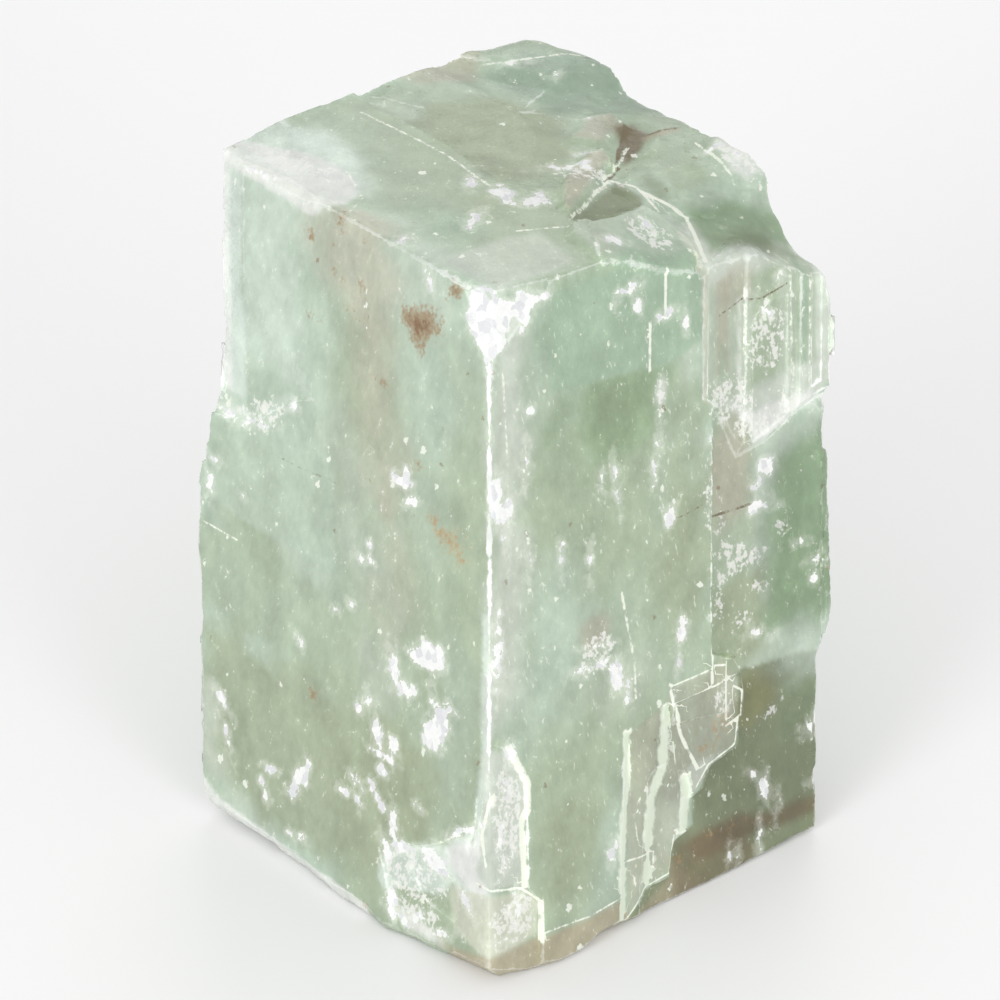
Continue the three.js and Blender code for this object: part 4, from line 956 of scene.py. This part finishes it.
def calcite_material():
    g = Graph("calcite")
    solid = g.node("ShaderNodeTexCoord").outputs["Object"]
    solid = g.stretch(solid, 1 / MM, 1 / MM, 0.7 / MM)
    ragged = g.noise(solid, 1.2, 3.0, 0.62)
    fine = g.noise(solid, 0.42, 1.0, 0.6)
    streaks = g.noise(g.stretch(solid, 1, 1, 0.3), 0.45, 1.0, 0.6)

    # the body, mottled
    mottle = g.calc("MULTIPLY_ADD", streaks, 0.035, g.calc("MULTIPLY_ADD", ragged, 0.08, 1.0))
    colour = g.scaled(g.attribute("body", "Color"), mottle)

    # white flecks and brown specks here and there, and scratches along the front edge's way
    away, pick, other = g.cells(solid, 1.5)
    away = g.calc("MULTIPLY_ADD", fine, 0.16, away)
    size = g.step(g.total((pick, 1.0), (g.attribute("flecked"), 0.25)), 0.70, 1.15, 0.0, 0.34)
    fleck = g.step(g.calc("SUBTRACT", size, away), 0.0, 0.10, 0, 0.85)
    colour = g.mix(fleck, colour, FLECK)
    speck = g.calc("MULTIPLY", g.step(other, 0.94, 0.96), g.step(away, 0.20, 0.08, 0, 0.5))
    speck = g.calc("MULTIPLY", speck, g.step(fleck, 0.1, 0.0))
    colour = g.mix(speck, colour, DARK_BROWN)
    streak = g.step(g.total((streaks, 1.0), (g.attribute("streaked"), 0.3)), 0.54, 0.92, 0, 0.45)
    colour = g.mix(streak, colour, FLECK)

    # frosted patches, broken up into grains
    laced = g.step(g.attribute("lace"), -0.6, 1.4)
    grains = g.step(g.total((laced, 0.95), (fine, 0.8), (ragged, 0.7)), 0.7, 1.25, 0, 0.8)
    colour = g.mix(grains, colour, LACE)

    # thin lines: veils and cracks, with painted highlights on step edges and painted shadow in a groove
    trace_value = g.attribute("trace")
    strong = g.calc("ABSOLUTE", trace_value)
    gap = g.calc("ABSOLUTE", g.attribute("trace offset"))
    line = g.step(g.calc("SUBTRACT", g.calc("MULTIPLY_ADD", ragged, 0.35, 1.0), gap), -0.2, 0.4)
    broken = g.step(g.total((strong, 1.0), (fine, 0.5), (ragged, 0.4)), 0.1, 0.8, 0, 0.95)
    line = g.calc("MULTIPLY", line, g.calc("MULTIPLY", broken, g.step(strong, 0, 0.3)))
    # the strongest lines, the slivers, take a painted highlight colour
    line_colour = g.mix(g.step(trace_value, 1.05, 1.2), PALE_LINE, SLIVER_HIGHLIGHT)
    colour = g.mix(line, colour, g.mix(g.step(trace_value, -0.05, 0.05), DARK_LINE, line_colour))

    # rusty and brown stains
    grain = ((fine, 0.45), (ragged, 0.45))
    stained = g.total((g.attribute("stain"), 0.6), *grain)
    colour = g.mix(g.step(stained, -0.05, 0.75, 0, 0.75), colour, BROWN)
    colour = g.mix(g.step(stained, 0.6, 1.5, 0, 0.85), colour, DARK_BROWN)
    rusted = g.total((g.attribute("rust"), 0.45), *grain)
    colour = g.mix(g.step(rusted, 0.0, 1.1, 0, 0.75), colour, RUST)

    # bruises, white, and the white along the edges: partly crushed edges, partly a painted highlight along
    # the outer edges
    _, jag, facet = g.cells(solid, 0.8)
    edge = g.total((ragged, 0.35), (g.calc("SUBTRACT", jag, 0.72), 0.5), (fine, 0.1))
    bruised = g.calc("ADD", g.attribute("bruise"), edge)
    colour = g.mix(g.step(bruised, -0.9, 0.1, 0, 0.35), colour, FLECK)
    bruise = g.step(bruised, -0.03, 0.07)
    # some facets of each bruise take a greyer lilac: painted shade on its tiny facets
    colour = g.mix(bruise, colour, g.mix(g.step(facet, 0.1, 0.6), LILAC_FACET_SHADE, WHITE))
    # the edges' white is partly crushed edge and partly a painted highlight along the outer edges and
    # silhouettes
    crushed_and_highlight = g.step(g.total((g.attribute("outer"), 1.0), (ragged, 0.35)), 0.60, 0.92)
    crushed_and_highlight = g.calc("MULTIPLY", crushed_and_highlight, g.attribute("worn"))
    colour = g.mix(crushed_and_highlight, colour, WHITE)
    u, v, _ = g.node("ShaderNodeSeparateXYZ", Vector=g.attribute("crystal", "Vector")).outputs
    front = g.step(g.total((g.calc("MAXIMUM", u, v), 1.0), (ragged, 0.16)), 0.46, 0.32)
    front = g.calc("MULTIPLY", front, g.attribute("front"))
    colour = g.mix(front, colour, WHITE)

    # relief too fine for the mesh
    lumpy = g.step(g.attribute("bruise"), -0.3, 0.3, 0.3, 1.1)
    bump = g.node("ShaderNodeBump", Strength=0.5, Distance=0.10 * MM,
                  Height=g.calc("MULTIPLY", fine, lumpy))

    # a little see-through in the dark parts, but not on bruises, lines, the front edge and the crushed,
    # highlighted edges
    hazy = g.calc("MAXIMUM", g.calc("MAXIMUM", bruise, line), g.calc("MAXIMUM", crushed_and_highlight, front))
    clear = g.step(g.attribute("clear"), 0.0, 2.5, 0.0, 0.2)
    clear = g.calc("MULTIPLY", clear, g.step(hazy, 0, 1, 1, 0.1))
    roughness = g.total((bruise, 0.35), (g.attribute("rough"), 0.12), (ragged, 0.05))
    shader = g.surface(Base_Color=colour, Roughness=g.calc("ADD", roughness, 0.24),
                       Normal=bump.outputs[0], Transmission_Weight=clear, IOR=1.6,
                       Subsurface_Weight=1.0, Subsurface_Radius=(0.85, 1.0, 0.85),
                       Subsurface_Scale=1.8 * MM)
    shader.subsurface_method = "BURLEY"
    return g.material


# ---- the crystal ----
CREASE = math.radians(32)  # from this angle on, an edge is shaded sharp


def link(made):
    """Puts an object in the scene, and gives it back."""
    bpy.context.scene.collection.objects.link(made)
    return made


def scatter_fields(crystal, worn):
    """How thickly flecks and streaks lie at each point, and how white its edges are, partly worn and partly
    a painted highlight.
    """
    u, v, w = crystal.T
    patches = fractal(crystal, 6.0, 91)
    dark = smoothstep(35, 40, v) * smoothstep(30, 36, w) * smoothstep(6, 2, u)
    on_right = smoothstep(4.0, 0.5, u) * smoothstep(0.5, 4.0, v)
    streaks = 0.6 + 0.6 * fractal(crystal * [1, 1, 0.7], 5.0, 97)
    off_corner = smoothstep(0.6, 1.6, np.maximum(u, v) + 3 * smoothstep(8, 2, w))
    whole = 1 - 0.75 * smoothstep(61, 63, w) * smoothstep(81, 79, w)
    return {
        "flecked": patches - 0.2 * dark,
        "streaked": on_right * streaks - 0.6 - 0.5 * dark,
        "worn": np.clip(0.28 + 0.25 * patches + smoothstep(0, 1.5, worn), 0, 1) * off_corner,
        "front": whole * (0.95 + 0.35 * fractal(crystal, 2.5, 99)),
    }


def make_crystal():
    surface, known = broken_surface()
    mesh = bpy.data.meshes.new("calcite")
    mesh.from_pydata((surface.points * MM).tolist(), [], surface.triangles.tolist())
    crystal = crystal_coordinates(surface.points)
    known |= {kind: mark_field(crystal, marks) for kind, marks in MARKS.items()}
    known["trace offset"], known["trace"] = trace_fields(crystal)
    known |= scatter_fields(crystal, known["worn"])
    for name, values in known.items():
        mesh.attributes.new(name, "FLOAT", "POINT").data.foreach_set("value", values)
    coordinates = mesh.attributes.new("crystal", "FLOAT_VECTOR", "POINT")
    coordinates.data.foreach_set("vector", crystal.ravel())
    body = np.ones((len(crystal), 4))
    body[:, :3] = body_colours(crystal)
    mesh.attributes.new("body", "FLOAT_COLOR", "POINT").data.foreach_set("color", body.ravel())
    mesh.shade_smooth()
    mesh.set_sharp_from_angle(angle=CREASE)
    mesh.materials.append(calcite_material())
    piece = link(bpy.data.objects.new("calcite", mesh))
    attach(piece, "root")
    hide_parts("calcite_crystal")


# ---- the studio ----
CAMERA_TARGET = Vector((-1.824, 11.923, 39.139)) * MM
CAMERA_DISTANCE = 1.0
CAMERA_ELEVATION = math.radians(40.45)
LENS_MM = 313.2
SENSOR_MM = 36.0
FLOOR_SIZE = 8.0
FLOOR_GAP = 0.1 * MM
WORLD_STRENGTH = 0.8
# Each light's name, place, size and power, in metres and watts.
LIGHTS = [
    ("key", (-1.1, -1.2, 0.7), 0.9, 9),
    ("fill", (1.1, -1.3, 0.6), 1.0, 7),
    ("back", (0.2, 1.3, 1.0), 0.9, 2),
]


def make_camera():
    data = bpy.data.cameras.new("camera")
    data.lens = LENS_MM
    data.sensor_width = SENSOR_MM
    data.clip_end = 20
    camera = link(bpy.data.objects.new("camera", data))
    back = Vector((0, -math.cos(CAMERA_ELEVATION), math.sin(CAMERA_ELEVATION)))
    camera.location = CAMERA_TARGET + CAMERA_DISTANCE * back
    camera.rotation_euler = (math.pi / 2 - CAMERA_ELEVATION, 0, 0)
    bpy.context.scene.camera = camera


def make_floor():
    bpy.ops.mesh.primitive_plane_add(size=FLOOR_SIZE, location=(0, 0, -FLOOR_GAP))
    floor = bpy.context.object
    floor.name = "floor"
    g = Graph("floor")
    g.surface(Base_Color=(0.93, 0.93, 0.93, 1), Roughness=0.3, Specular_IOR_Level=0.25)
    floor.data.materials.append(g.material)


def make_lights():
    for name, place, size, watts in LIGHTS:
        data = bpy.data.lights.new(name, "AREA")
        data.shape = "DISK"
        data.size = size
        data.energy = watts
        light = link(bpy.data.objects.new(name, data))
        light.location = place
        light.rotation_euler = (CAMERA_TARGET - Vector(place)).to_track_quat("-Z", "Y").to_euler()
    world = bpy.data.worlds.new("studio")
    world.use_nodes = True
    background = world.node_tree.nodes["Background"]
    background.inputs["Color"].default_value = (1, 1, 1, 1)
    background.inputs["Strength"].default_value = WORLD_STRENGTH
    bpy.context.scene.world = world
    bpy.context.scene.view_settings.view_transform = "Standard"


make_crystal()
make_camera()
make_floor()
make_lights()
